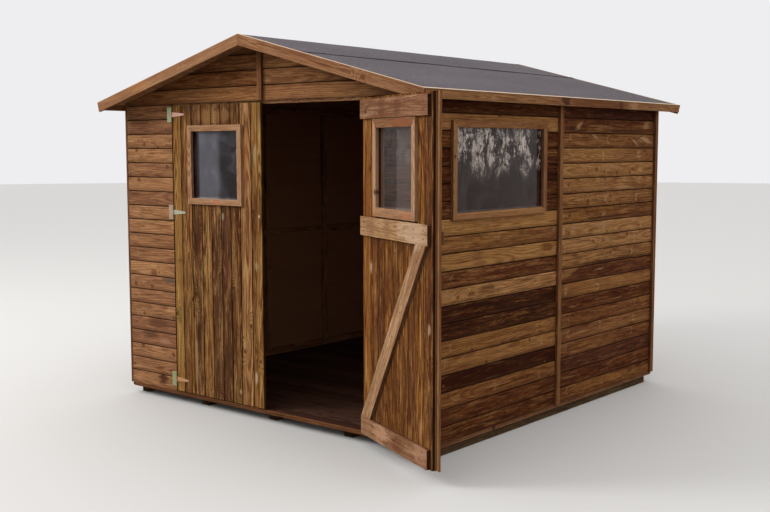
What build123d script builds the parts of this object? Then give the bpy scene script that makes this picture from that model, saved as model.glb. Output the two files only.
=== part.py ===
from build123d import *
import os
from math import asin, atan2, cos, hypot, radians, sin, tan

os.makedirs("parts", exist_ok=True)

# Plan of the shed: x runs along the front, -y is the front, z is up, and the
# origin is on the underside of the middle bearer, in the middle of the plan.
width = 2480.0
depth = 2470.0
board_cover = 90.0

# Floor
bearer_width = 60.0
bearer_height = 49.0
bearer_count = 5
bearer_setback = 60.0
deck_thickness = 19.0
edging_thickness = 18.0
edging_drop = 18.0
edging_gap = 1.0

# Walls
cladding = 16.0
cladding_lift = 2.0
frame_depth = 28.0
frame_width = 45.0
courses_to_gable = 20
frame_gap = 1.0
stud_count = 5
ring_play = 4.0

# Doorway and its posts
pin_span = 1588.0
pin_stand = 5.0
jamb_gap = 3.0
leaf_gap = 3.0
post_depth = 45.0
head_set_back = 5.0
head_height = 45.0
head_overlap = 8.0
door_head_gap = 10.0
door_foot_gap = 8.0

# Door leaves
leaf_thickness = 16.0
meeting_gap = 10.0
ledge_height = 97.0
ledge_thickness = 17.0
ledge_inset = 26.0
ledge_gap = 0.3
ledge_clearance = 4.0
brace_width = 90.0
brace_foot_inset = 2.0
brace_head_inset = 15.0
swing = 155.0
leaf_headroom = 5.5

# Cover strip and turn button of the right leaf
strip_overhang = 22.0
strip_width = 44.0
strip_thickness = 16.0
strip_rebate = 6.0
button_length = 72.0
button_width = 24.0
button_thickness = 14.0
button_rise = 40.0
button_out = 9.0

# Hinges
plate_height = 90.0
plate_reach = 42.0
iron = 2.5
knuckle_radius = 5.0
pin_radius = 3.0
pin_clearance = 0.4
strap_reach = 115.0
strap_root = 31.0
strap_tip = 12.0
knuckle_gap = 1.5
hinge_rises = (73.0, 59.0, 54.0)

# Windows
frame_bar = 36.0
frame_proud = 18.0
pane_thickness = 4.0
pane_depth = 6.0
pane_gap = 0.3
hole_play = 2.0
sill_bevel = 9.0
door_window = 476.0
inner_frame_height = 495.0
door_window_drop = 5.0
door_window_foot_gap = 9.0
side_window_height = 513.0
side_window_drop = 151.0
side_window_front_gap = 119.0
side_window_rear_gap = 163.0

# Trims
trim_width = 36.0
trim_thickness = 18.0
side_joint = 1210.0

# Roof
pitch = 14.7
felt_thickness = 3.0
roof_board = 16.0
side_overhang = 69.0
front_overhang = 178.0
back_overhang = 224.0
barge_thickness = 18.0
barge_depth = 62.0
fascia_depth = 49.0
felt_lap_line = 490.0
ridge_beam_width = 45.0
ridge_beam_height = 95.0
purlin_width = 45.0
purlin_height = 70.0
purlin_place = 640.0

# Worked out from the driving dimensions
half = width / 2
front = -depth / 2
back = depth / 2
deck_top = bearer_height + deck_thickness
wall_foot = deck_top + cladding_lift
gable_foot = wall_foot + courses_to_gable * board_cover
wall_start = front + cladding
wall_end = back - cladding
joint_y = front + side_joint
pin_x = pin_span / 2
opening_half = pin_x + jamb_gap
leaf_start = leaf_gap
leaf_end = pin_x - meeting_gap / 2
leaf_middle = (leaf_start + leaf_end) / 2
door_top = gable_foot - door_head_gap
door_bottom = deck_top + door_foot_gap
head_foot = door_top - head_overlap
eave_x = half + side_overhang
roof_front = front - front_overhang
roof_back = back + back_overhang
door_light = door_window - 2 * frame_bar
door_hole = door_light + 2 * hole_play
side_window_start = wall_start + side_window_front_gap
side_window_end = joint_y - side_window_rear_gap
side_window_width = side_window_end - side_window_start
side_light = (side_window_width - 2 * frame_bar, side_window_height - 2 * frame_bar)
side_hole = (side_light[0] + 2 * hole_play, side_light[1] + 2 * hole_play)
window_y = (side_window_start + side_window_end) / 2

# Roof height: the gable's heel, or higher so that an open leaf clears the bargeboard
turn = radians(swing)
roof_rise = tan(radians(pitch))
roof_stack = (felt_thickness + roof_board) / cos(radians(pitch))
barge_plumb = barge_depth / cos(radians(pitch))
cross_reach = (front_overhang - pin_stand * (1 - cos(turn))) / sin(turn)
cross_x = pin_x - cross_reach * cos(turn) - pin_stand * sin(turn)
headroom_ridge = door_top + leaf_headroom + barge_plumb + roof_rise * cross_x
heel_ridge = gable_foot + cladding + roof_stack + roof_rise * half
ridge_top = max(headroom_ridge, heel_ridge)
under_ridge = ridge_top - roof_stack
wall_top = under_ridge - roof_rise * (half - cladding)
side_window_level = wall_top - side_window_drop - side_window_height / 2

# Ledges from the top of a leaf down, with its window between the upper two
ledge_end = leaf_end - ledge_inset
top_ledge_foot = head_foot - ledge_clearance - ledge_height
door_window_height = top_ledge_foot - door_window_drop - inner_frame_height / 2
inner_frame_foot = door_window_height - inner_frame_height / 2
middle_ledge_foot = inner_frame_foot - door_window_foot_gap - ledge_height
ledge_feet = (door_bottom, middle_ledge_foot, top_ledge_foot)
hinge_heights = tuple(foot + rise for foot, rise in zip(ledge_feet, hinge_rises))


def write(piece, name):
    """Labels a finished piece and writes its file."""
    piece.label = name
    export_step(piece, f"parts/{name}.step")


def under_roof(x):
    """Height of the underside of the roof boards at a distance from the ridge."""
    return under_ridge - roof_rise * abs(x)


def top_of_roof(x):
    """Height of the finished roof surface at a distance from the ridge."""
    return ridge_top - roof_rise * abs(x)


def facing_front(y):
    """Upright plane whose normal points to the front."""
    return Plane(origin=(0, y, 0), x_dir=(1, 0, 0), z_dir=(0, -1, 0))


def facing_right(x):
    """Upright plane whose normal points to the right, with y along it."""
    return Plane(origin=(x, 0, 0), x_dir=(0, 1, 0), z_dir=(1, 0, 0))


def board(low, high):
    """Squared timber between two corners."""
    with BuildPart() as timber:
        with BuildSketch(Plane.XY.offset(low[2])):
            with Locations(((low[0] + high[0]) / 2, (low[1] + high[1]) / 2)):
                Rectangle(high[0] - low[0], high[1] - low[1])
        extrude(amount=high[2] - low[2])
    return timber.part


def several(pieces):
    """Like pieces of one kind, side by side in one part."""
    return Compound(children=list(pieces))


def window_ring(plane, centre, size, light, amount):
    """Bars round a window's light, standing on one face of the boards."""
    with BuildPart() as ring:
        with BuildSketch(plane):
            with Locations(centre):
                Rectangle(*size)
                Rectangle(*light, mode=Mode.SUBTRACT)
        extrude(amount=amount)
    return ring.part


def pane(plane, centre, size, amount):
    """Clear sheet held inside the thickness of the boards."""
    with BuildPart() as sheet:
        with BuildSketch(plane):
            with Locations(centre):
                Rectangle(size[0] - 2 * pane_gap, size[1] - 2 * pane_gap)
        extrude(amount=amount)
    return sheet.part


# Floor: bearers from front to back, the deck on them, and a strip along each edge
def bearer(index):
    spread = width - 2 * edging_thickness - bearer_width
    x = -spread / 2 + index * spread / (bearer_count - 1)
    low = (x - bearer_width / 2, front + bearer_setback, 0)
    high = (x + bearer_width / 2, back - bearer_setback, bearer_height)
    return board(low, high)


write(several(bearer(i) for i in range(bearer_count)), "floor_bearers")

with BuildPart() as deck:
    with BuildSketch(Plane.XY.offset(bearer_height)):
        Rectangle(width - 2 * edging_thickness, depth - 2 * edging_thickness)
    extrude(amount=deck_thickness)
write(deck.part, "floor_deck")

edging_foot = deck_top - edging_drop
side_run = half - edging_thickness - edging_gap
edging = [
    board((-side_run, front, edging_foot), (side_run, front + edging_thickness, deck_top)),
    board((-side_run, back - edging_thickness, edging_foot), (side_run, back, deck_top)),
    board((-half, front, edging_foot), (-half + edging_thickness, back, deck_top)),
    board((half - edging_thickness, front, edging_foot), (half, back, deck_top)),
]
write(several(edging), "floor_edging")


# Walls: boarded panels, two to a side, and the panels beside the doorway
def front_panel(side):
    """Panel between a corner and the doorway; side is -1 at the left, 1 at the right."""
    inner = side * opening_half
    outer = side * half
    low = (min(inner, outer), front, wall_foot)
    high = (max(inner, outer), front + cladding, gable_foot)
    return board(low, high)


def back_panel(side):
    """One half of the back wall."""
    low = (min(0, side * half), back - cladding, wall_foot)
    high = (max(0, side * half), back, gable_foot)
    return board(low, high)


def side_panel(side, start, end, window):
    """Panel of a side wall, its top edge cut to the slope of the roof."""
    outer = side * half
    inner = side * (half - cladding)
    with BuildPart() as panel:
        with BuildSketch(facing_front(end)):
            with BuildLine():
                Polyline(
                    (inner, wall_foot),
                    (outer, wall_foot),
                    (outer, under_roof(outer)),
                    (inner, under_roof(inner)),
                    close=True,
                )
            make_face()
        extrude(amount=end - start)
        if window:
            with BuildSketch(facing_right(min(outer, inner))):
                with Locations((window_y, side_window_level)):
                    Rectangle(*side_hole)
            extrude(amount=cladding, mode=Mode.SUBTRACT)
    return panel.part


write(front_panel(-1), "front_left_panel")
write(front_panel(1), "front_right_panel")
write(back_panel(-1), "back_left_panel")
write(back_panel(1), "back_right_panel")
write(side_panel(-1, wall_start, joint_y, False), "left_front_panel")
write(side_panel(-1, joint_y, wall_end, False), "left_rear_panel")
write(side_panel(1, wall_start, joint_y, True), "right_front_panel")
write(side_panel(1, joint_y, wall_end, False), "right_rear_panel")


# Gables: two halves to each end, cut to the roof slope
def gable_half(side, y):
    """Half a gable whose outer face looks to the front from y."""
    with BuildPart() as gable:
        with BuildSketch(facing_front(y)):
            with BuildLine():
                Polyline(
                    (0, gable_foot),
                    (side * half, gable_foot),
                    (side * half, under_roof(half)),
                    (0, under_roof(0)),
                    close=True,
                )
            make_face()
        extrude(amount=cladding)
    return gable.part


write(gable_half(-1, front + cladding), "front_gable_left")
write(gable_half(1, front + cladding), "front_gable_right")
write(gable_half(-1, back), "back_gable_left")
write(gable_half(1, back), "back_gable_right")


# Framing behind the boards: rails along each wall, and studs between them
member = frame_width / 2
inner_x = half - cladding - frame_depth
inner_back = wall_end - frame_depth
end_half = inner_x - frame_gap
post_outer = opening_half + frame_width
sole_top = deck_top + frame_width
side_top_rail = wall_top - frame_width
back_top_rail = gable_foot - member
front_top_rail = head_foot - frame_width - frame_gap
middle_rail = (sole_top + side_top_rail) / 2
ring_half = side_window_width / 2 + ring_play
ring_top = side_window_level + side_window_height / 2 + ring_play
ring_foot = side_window_level - side_window_height / 2 - ring_play


def middles(start, end, count):
    """Middles of studs spread evenly from one end of a wall to the other."""
    first = start + member
    step = (end - start - frame_width) / (count - 1)
    return [first + index * step for index in range(count)]


def gaps_between(places):
    """Free stretches between neighbouring studs."""
    return [(a + member, b - member) for a, b in zip(places, places[1:])]


def side_timber(side, start, end, foot, top):
    """Piece of framing on the inside of a side wall."""
    near, far = sorted((side * inner_x, side * (half - cladding)))
    return board((near, start, foot), (far, end, top))


def back_timber(start, end, foot, top):
    """Piece of framing on the inside of the back wall."""
    return board((start, inner_back, foot), (end, wall_end, top))


def front_timber(start, end, foot, top):
    """Piece of framing on the inside of the front wall."""
    return board((start, wall_start, foot), (end, wall_start + frame_depth, top))


front_bay_studs = [wall_start + member, joint_y]
rear_studs = [joint_y, (joint_y + wall_end - member) / 2, wall_end - member]
plain_studs = [wall_start + member, (wall_start + member + joint_y) / 2] + rear_studs
end_studs = middles(-end_half, end_half, stud_count)
rails = []
studs = []
for side in (-1, 1):
    rails.append(side_timber(side, wall_start, wall_end, deck_top, sole_top))
    rails.append(side_timber(side, wall_start, wall_end, side_top_rail, wall_top))
    for start, end in gaps_between(plain_studs if side < 0 else rear_studs):
        rails.append(side_timber(side, start, end, middle_rail - member, middle_rail + member))
    for y in plain_studs if side < 0 else [wall_start + member] + rear_studs:
        studs.append(side_timber(side, y - member, y + member, sole_top, side_top_rail))
    corner, inner = side * (end_half - frame_width), side * end_half
    low, high = sorted((corner, inner))
    studs.append(front_timber(low, high, sole_top, front_top_rail))
    low, high = sorted((side * (post_outer + frame_gap), inner))
    rails.append(front_timber(low, high, deck_top, sole_top))
    rails.append(front_timber(low, high, front_top_rail, front_top_rail + frame_width))
    low, high = sorted((side * (post_outer + frame_gap), corner))
    rails.append(front_timber(low, high, middle_rail - member, middle_rail + member))
sill = ring_foot - frame_width
for start, end in gaps_between(front_bay_studs):
    rails.append(side_timber(1, start, end, sill, ring_foot))
    rails.append(side_timber(1, start, end, ring_top, ring_top + frame_width))
    studs.append(side_timber(1, window_y - member, window_y + member, sole_top, sill))
for y in (window_y - ring_half - member, window_y + ring_half + member):
    studs.append(side_timber(1, y - member, y + member, ring_foot, ring_top))
rails.append(back_timber(-end_half, end_half, deck_top, sole_top))
rails.append(back_timber(-end_half, end_half, back_top_rail, back_top_rail + frame_width))
for start, end in gaps_between(end_studs):
    rails.append(back_timber(start, end, middle_rail - member, middle_rail + member))
for x in end_studs:
    studs.append(back_timber(x - member, x + member, sole_top, back_top_rail))
write(several(rails), "wall_rails")
write(several(studs), "wall_studs")

# Doorway: two posts, and a rail over the leaves that stops their tops
rail_top = head_foot + head_height
posts = [
    board(
        (min(side * opening_half, side * post_outer), front + cladding, deck_top),
        (max(side * opening_half, side * post_outer), front + cladding + post_depth, head_foot),
    )
    for side in (-1, 1)
]
write(several(posts), "door_posts")
write(
    board(
        (-end_half, front + cladding + head_set_back, head_foot),
        (end_half, front + cladding + post_depth, rail_top),
    ),
    "door_head_rail",
)


# Trims: a strip at each corner on the side walls, and strips over the panel joints
def side_strip(side, y):
    """Upright strip on a side wall, its top cut under the roof boards."""
    inner = side * half
    outer = side * (half + trim_thickness)
    with BuildPart() as strip:
        with BuildSketch(facing_front(y + trim_width / 2)):
            with BuildLine():
                Polyline(
                    (inner, wall_foot),
                    (outer, wall_foot),
                    (outer, under_roof(outer)),
                    (inner, under_roof(inner)),
                    close=True,
                )
            make_face()
        extrude(amount=trim_width)
    return strip.part


def end_strip(y, foot):
    """Upright strip in the middle of a gable or of the back wall."""
    with BuildPart() as strip:
        with BuildSketch(facing_front(y)):
            with BuildLine():
                Polyline(
                    (-trim_width / 2, foot),
                    (trim_width / 2, foot),
                    (trim_width / 2, under_roof(trim_width / 2)),
                    (0, under_roof(0)),
                    (-trim_width / 2, under_roof(trim_width / 2)),
                    close=True,
                )
            make_face()
        extrude(amount=trim_thickness)
    return strip.part


corner_places = (front + trim_width / 2, back - trim_width / 2)
write(several(side_strip(s, y) for s in (-1, 1) for y in corner_places), "corner_trims")
battens = [
    side_strip(-1, joint_y),
    side_strip(1, joint_y),
    end_strip(front, gable_foot),
    end_strip(back + trim_thickness, wall_foot),
]
write(several(battens), "cover_battens")


# Roof: ridge beam, purlins, two boarded slopes, felt, and the boards at its edges
beam_top = under_roof(ridge_beam_width / 2)
write(
    board(
        (-ridge_beam_width / 2, wall_start, beam_top - ridge_beam_height),
        (ridge_beam_width / 2, wall_end, beam_top),
    ),
    "ridge_beam",
)


def purlin(side):
    """Purlin half way down a slope, square to the roof boards."""
    with BuildPart() as beam:
        with BuildSketch(facing_front(wall_end)):
            with Locations((side * purlin_place, under_roof(purlin_place))):
                Rectangle(
                    purlin_width,
                    purlin_height,
                    rotation=-side * pitch,
                    align=(Align.CENTER, Align.MAX),
                )
        extrude(amount=wall_end - wall_start)
    return beam.part


write(several(purlin(side) for side in (-1, 1)), "purlins")
deck_front = roof_front + barge_thickness
deck_back = roof_back - barge_thickness
deck_edge = eave_x - barge_thickness


def slope_layer(side, start, end, high, low):
    """Sheet on a slope from start to end, between two depths below the finished roof."""
    with BuildPart() as layer:
        with BuildSketch(facing_front(deck_back)):
            with BuildLine():
                Polyline(
                    (side * start, top_of_roof(start) - low),
                    (side * end, top_of_roof(end) - low),
                    (side * end, top_of_roof(end) - high),
                    (side * start, top_of_roof(start) - high),
                    close=True,
                )
            make_face()
        extrude(amount=deck_back - deck_front)
    return layer.part


felt_drop = felt_thickness / cos(radians(pitch))
lap_x = felt_lap_line * cos(radians(pitch))
mitre_gap = 0.5
barge_fall = barge_depth * sin(radians(pitch))
write(slope_layer(-1, 0, deck_edge, felt_drop, roof_stack), "roof_deck_left")
write(slope_layer(1, 0, deck_edge, felt_drop, roof_stack), "roof_deck_right")
write(slope_layer(-1, lap_x, deck_edge, 0, felt_drop), "roof_felt_left")
write(slope_layer(1, lap_x, deck_edge, 0, felt_drop), "roof_felt_right")

with BuildPart() as ridge_felt:
    with BuildSketch(facing_front(deck_back)):
        with BuildLine():
            Polyline(
                (-lap_x, top_of_roof(lap_x) - felt_drop),
                (0, ridge_top - felt_drop),
                (lap_x, top_of_roof(lap_x) - felt_drop),
                (lap_x, top_of_roof(lap_x)),
                (0, ridge_top),
                (-lap_x, top_of_roof(lap_x)),
                close=True,
            )
        make_face()
    extrude(amount=deck_back - deck_front)
write(ridge_felt.part, "roof_felt_ridge")


def bargeboard(side, y):
    """Board along a rake, mitred at the ridge and cut square at the eave."""
    tip = eave_x
    foot = eave_x - barge_fall
    with BuildPart() as barge:
        with BuildSketch(facing_front(y)):
            with BuildLine():
                Polyline(
                    (side * mitre_gap, top_of_roof(mitre_gap)),
                    (side * tip, top_of_roof(tip)),
                    (side * foot, top_of_roof(foot) - barge_plumb),
                    (side * mitre_gap, top_of_roof(mitre_gap) - barge_plumb),
                    close=True,
                )
            make_face()
        extrude(amount=barge_thickness)
    return barge.part


write(several(bargeboard(s, y) for s in (-1, 1) for y in (deck_front, roof_back)), "bargeboards")


def fascia(side):
    """Board along an eave, its top edge in the slope of the roof."""
    foot = top_of_roof(eave_x) - fascia_depth
    with BuildPart() as eave:
        with BuildSketch(facing_front(deck_back)):
            with BuildLine():
                Polyline(
                    (side * deck_edge, foot),
                    (side * eave_x, foot),
                    (side * eave_x, top_of_roof(eave_x)),
                    (side * deck_edge, top_of_roof(deck_edge)),
                    close=True,
                )
            make_face()
        extrude(amount=deck_back - deck_front)
    return eave.part


write(several(fascia(side) for side in (-1, 1)), "eave_fascias")

# Side window: a frame with a bevelled sill on the boards, a clear sheet, and a frame inside
window_size = (side_window_width, side_window_height)
window_place = (window_y, side_window_level)
inside_face = half - cladding
with BuildPart() as outer_ring:
    with BuildSketch(facing_right(half)):
        with Locations(window_place):
            Rectangle(*window_size)
            Rectangle(*side_light, mode=Mode.SUBTRACT)
    extrude(amount=frame_proud)
    outer_edges = outer_ring.edges().filter_by(Axis.Y).group_by(Axis.X)[-1]
    chamfer(outer_edges.sort_by(Axis.Z)[1], length=sill_bevel)
inner_ring = window_ring(
    facing_right(inside_face), window_place, window_size, side_light, -frame_proud
)
write(several([outer_ring.part, inner_ring]), "side_window_frame")
side_pane = pane(facing_right(half - pane_depth), window_place, side_hole, -pane_thickness)
write(side_pane, "side_window_glass")


# Door leaves: each is set out from its own pin, so both share these functions
class Leaf:
    """Where a leaf stands: its pin, the way it points and which way is indoors."""

    def __init__(self, side, angle):
        turn = radians(angle)
        self.side = side
        self.pin = (side * pin_x, front - pin_stand)
        self.along = (-side * cos(turn), -sin(turn))
        self.inward = (-side * sin(turn), cos(turn))

    def upright(self, inward):
        """Upright plane at a depth behind the outer face, x from pin to free edge."""
        reach = inward + pin_stand
        origin = (
            self.pin[0] + self.inward[0] * reach,
            self.pin[1] + self.inward[1] * reach,
            0,
        )
        normal = (self.side * self.inward[0], self.side * self.inward[1], 0)
        return Plane(origin=origin, x_dir=(*self.along, 0), z_dir=normal)

    def inwards(self, amount):
        """Signed distance that extrudes towards the room."""
        return self.side * amount

    def level(self, height):
        """Level plane at a height, x from pin to free edge, centred on the pin."""
        return Plane(origin=(*self.pin, height), x_dir=(*self.along, 0), z_dir=(0, 0, 1))


def leaf_boards(leaf):
    """Upright boards of a leaf, with the hole for its window."""
    with BuildPart() as boards:
        with BuildSketch(leaf.upright(0)):
            with Locations((leaf_middle, (door_bottom + door_top) / 2)):
                Rectangle(leaf_end - leaf_start, door_top - door_bottom)
            with Locations((leaf_middle, door_window_height)):
                Rectangle(door_hole, door_hole, mode=Mode.SUBTRACT)
        extrude(amount=leaf.inwards(leaf_thickness))
    return boards.part


def leaf_ledges(leaf):
    """Three ledges across the back of a leaf and the brace between the lower two."""
    plane = leaf.upright(leaf_thickness)
    timbers = []
    for foot in ledge_feet:
        with BuildPart() as ledge:
            with BuildSketch(plane):
                with Locations(((leaf_start + ledge_end) / 2, foot + ledge_height / 2)):
                    Rectangle(ledge_end - leaf_start, ledge_height)
            extrude(amount=leaf.inwards(ledge_thickness))
        timbers.append(ledge.part)
    low = door_bottom + ledge_height + ledge_gap
    high = ledge_feet[1] - ledge_gap
    first = leaf_start + brace_foot_inset
    span = ledge_end - brace_head_inset - first
    angle = atan2(high - low, span) + asin(brace_width / hypot(high - low, span))
    slant = brace_width / sin(angle)
    last = first + span - slant
    with BuildPart() as brace:
        with BuildSketch(plane):
            with BuildLine():
                Polyline(
                    (first, low),
                    (first + slant, low),
                    (last + slant, high),
                    (last, high),
                    close=True,
                )
            make_face()
        extrude(amount=leaf.inwards(ledge_thickness))
    timbers.append(brace.part)
    return several(timbers)


def leaf_window(leaf):
    """Frames on both faces of a leaf's window."""
    place = (leaf_middle, door_window_height)
    light = (door_light, door_light)
    outside = (door_window, door_window)
    inside = (door_window, inner_frame_height)
    faces = (
        window_ring(leaf.upright(0), place, outside, light, leaf.inwards(-frame_proud)),
        window_ring(leaf.upright(leaf_thickness), place, inside, light, leaf.inwards(frame_proud)),
    )
    return several(faces)


def leaf_pane(leaf):
    """Clear sheet of a leaf's window."""
    place = (leaf_middle, door_window_height)
    return pane(
        leaf.upright(pane_depth),
        place,
        (door_hole, door_hole),
        leaf.inwards(pane_thickness),
    )


def hinge_strap(leaf, height):
    """Tapered strap with a round tip and a rolled knuckle in the middle of the hinge."""
    tip_centre = strap_reach - strap_tip / 2
    with BuildPart() as strap:
        with BuildSketch(leaf.upright(0)):
            with BuildLine():
                Line((0, height - strap_root / 2), (tip_centre, height - strap_tip / 2))
                ThreePointArc(
                    (tip_centre, height - strap_tip / 2),
                    (strap_reach, height),
                    (tip_centre, height + strap_tip / 2),
                )
                Line((tip_centre, height + strap_tip / 2), (0, height + strap_root / 2))
                Line((0, height + strap_root / 2), (0, height - strap_root / 2))
            make_face()
        extrude(amount=leaf.inwards(-iron))
        with BuildSketch(leaf.level(height - strap_root / 2)):
            Circle(knuckle_radius)
        extrude(amount=strap_root)
        with BuildSketch(leaf.level(height - strap_root / 2)):
            Circle(pin_radius + pin_clearance)
        extrude(amount=strap_root, mode=Mode.SUBTRACT)
    return strap.part


def hinge_plate(side, height):
    """Upright plate beside the doorway with two knuckles and the pin between them."""
    closed = Leaf(side, 0)
    with BuildPart() as plate:
        with BuildSketch(closed.upright(0)):
            with Locations((-plate_reach / 2, height)):
                Rectangle(plate_reach, plate_height)
            with Locations((0, height)):
                Rectangle(
                    2 * (knuckle_radius + knuckle_gap),
                    strap_root + 2 * knuckle_gap,
                    mode=Mode.SUBTRACT,
                )
        extrude(amount=closed.inwards(-iron))
        for foot in (-plate_height / 2, strap_root / 2 + knuckle_gap):
            with BuildSketch(closed.level(height + foot)):
                Circle(knuckle_radius)
            extrude(amount=plate_height / 2 - strap_root / 2 - knuckle_gap)
        with BuildSketch(closed.level(height - plate_height / 2)):
            Circle(pin_radius)
        extrude(amount=plate_height)
    return plate.part


write(
    several(hinge_plate(side, height) for side in (-1, 1) for height in hinge_heights),
    "hinge_plates",
)
left_leaf = Leaf(-1, 0)
right_leaf = Leaf(1, swing)
for leaf, name in ((left_leaf, "left_door"), (right_leaf, "right_door")):
    write(leaf_boards(leaf), f"{name}_boards")
    write(leaf_ledges(leaf), f"{name}_ledges")
    write(leaf_window(leaf), f"{name}_window_frame")
    write(leaf_pane(leaf), f"{name}_glass")
    write(several(hinge_strap(leaf, height) for height in hinge_heights), f"{name}_hinges")

# Cover strip on the right leaf: rebated where it laps over the left one
strip_start = leaf_end + strip_overhang - strip_width
with BuildPart() as strip:
    with BuildSketch(right_leaf.level(door_bottom)):
        with BuildLine():
            face = pin_stand
            Polyline(
                (strip_start, -face),
                (strip_start, strip_thickness - face),
                (strip_start + strip_width, strip_thickness - face),
                (strip_start + strip_width, strip_rebate - face),
                (leaf_end, strip_rebate - face),
                (leaf_end, -face),
                close=True,
            )
        make_face()
    extrude(amount=door_top - door_bottom)
write(strip.part, "door_cover_strip")

with BuildPart() as button:
    with BuildSketch(right_leaf.upright(-strip_thickness)):
        with Locations((leaf_end + button_out, middle_ledge_foot + button_rise)):
            SlotOverall(button_length, button_width, rotation=90)
    extrude(amount=right_leaf.inwards(-button_thickness))
write(button.part, "turn_button")
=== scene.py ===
# %% [markdown]
# # A wooden tool shed, dressed board by board
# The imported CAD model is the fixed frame: it says where each wall, door leaf and
# roof slope stands. Everything below is laid on that frame. The walls come from
# single milled boards, because a shed is read by its board lines, and one wood
# finish follows the grain of every board.

import math
import random

import bmesh
import bpy
from mathutils import Matrix, Vector


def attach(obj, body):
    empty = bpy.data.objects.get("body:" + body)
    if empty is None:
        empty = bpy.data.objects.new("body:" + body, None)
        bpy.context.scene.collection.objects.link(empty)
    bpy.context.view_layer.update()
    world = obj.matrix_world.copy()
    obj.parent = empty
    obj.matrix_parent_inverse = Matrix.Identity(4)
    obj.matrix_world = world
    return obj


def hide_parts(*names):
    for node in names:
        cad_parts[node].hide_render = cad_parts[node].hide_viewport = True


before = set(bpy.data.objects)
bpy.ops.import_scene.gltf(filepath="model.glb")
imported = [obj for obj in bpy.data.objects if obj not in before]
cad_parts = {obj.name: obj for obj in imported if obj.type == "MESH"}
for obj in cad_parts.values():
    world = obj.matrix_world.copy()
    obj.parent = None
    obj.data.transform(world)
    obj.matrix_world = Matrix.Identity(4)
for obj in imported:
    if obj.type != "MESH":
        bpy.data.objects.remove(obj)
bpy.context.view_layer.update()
MM = 0.001

# %% [markdown]
# The camera stands where the photograph was taken from: to the right of the
# shed, a little in front of it, at eye height. Its place and turn were worked
# out from the corners of the walls, so every board falls on its own line.

# %% The camera
camera_place = Vector((4.5112, -5.5710, 1.5977))
heading = math.radians(39.6693)
look_down = math.radians(5.6955)
roll = math.radians(-0.0706)
focal_pixels = 1080.27
picture_width = 770

camera = bpy.data.objects.new("camera", bpy.data.cameras.new("camera"))
bpy.context.scene.collection.objects.link(camera)
camera.data.sensor_width = 36.0
camera.data.lens = 36.0 * focal_pixels / picture_width
turned = (
    Matrix.Rotation(heading, 4, "Z")
    @ Matrix.Rotation(math.pi / 2 - look_down, 4, "X")
    @ Matrix.Rotation(roll, 4, "Z")
)
camera.matrix_world = Matrix.Translation(camera_place) @ turned
bpy.context.scene.camera = camera
bpy.context.scene.view_settings.view_transform = "Standard"
print("lens", round(camera.data.lens, 2), "mm")

# %% [markdown]
# Shader maths reads best as sums. A Wire stands for one socket, and its
# operators add the Math nodes. A Wiring is one node tree, and its node method
# is the only place where a node of any other kind is made. A Finish is the
# wiring of one material.

# %% Wires and finishes
def operator(operation, turned=False):
    """A method that adds one Math node; turned puts the other value first."""

    def applied(self, *others):
        values = (self, *others)
        return self.math(operation, *(reversed(values) if turned else values))

    return applied


class Wire:
    """One output socket; sums of wires and numbers add Math nodes."""

    def __init__(self, wiring, socket):
        self.wiring = wiring
        self.socket = socket

    def math(self, operation, *values):
        sockets = dict(enumerate(values))
        return self.wiring.node("ShaderNodeMath", {"operation": operation}, sockets)

    def beside(self, output):
        """Another output of the node that this wire comes from."""
        return Wire(self.wiring, self.socket.node.outputs[output])

    __add__ = __radd__ = operator("ADD")
    __sub__ = operator("SUBTRACT")
    __rsub__ = operator("SUBTRACT", turned=True)
    __mul__ = __rmul__ = operator("MULTIPLY")
    __truediv__ = operator("DIVIDE")
    __pow__ = operator("POWER")
    __gt__ = operator("GREATER_THAN")
    __abs__ = operator("ABSOLUTE")
    __round__ = operator("ROUND")
    larger = operator("MAXIMUM")
    fraction = operator("FRACT")


def linear(red, green, blue):
    """A colour as it looks on a screen, from 0 to 255, as the shader's own."""
    shares = [channel / 255 for channel in (red, green, blue)]
    curve = [s / 12.92 if s <= 0.04045 else ((s + 0.055) / 1.055) ** 2.4 for s in shares]
    return (*curve, 1.0)


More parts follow.
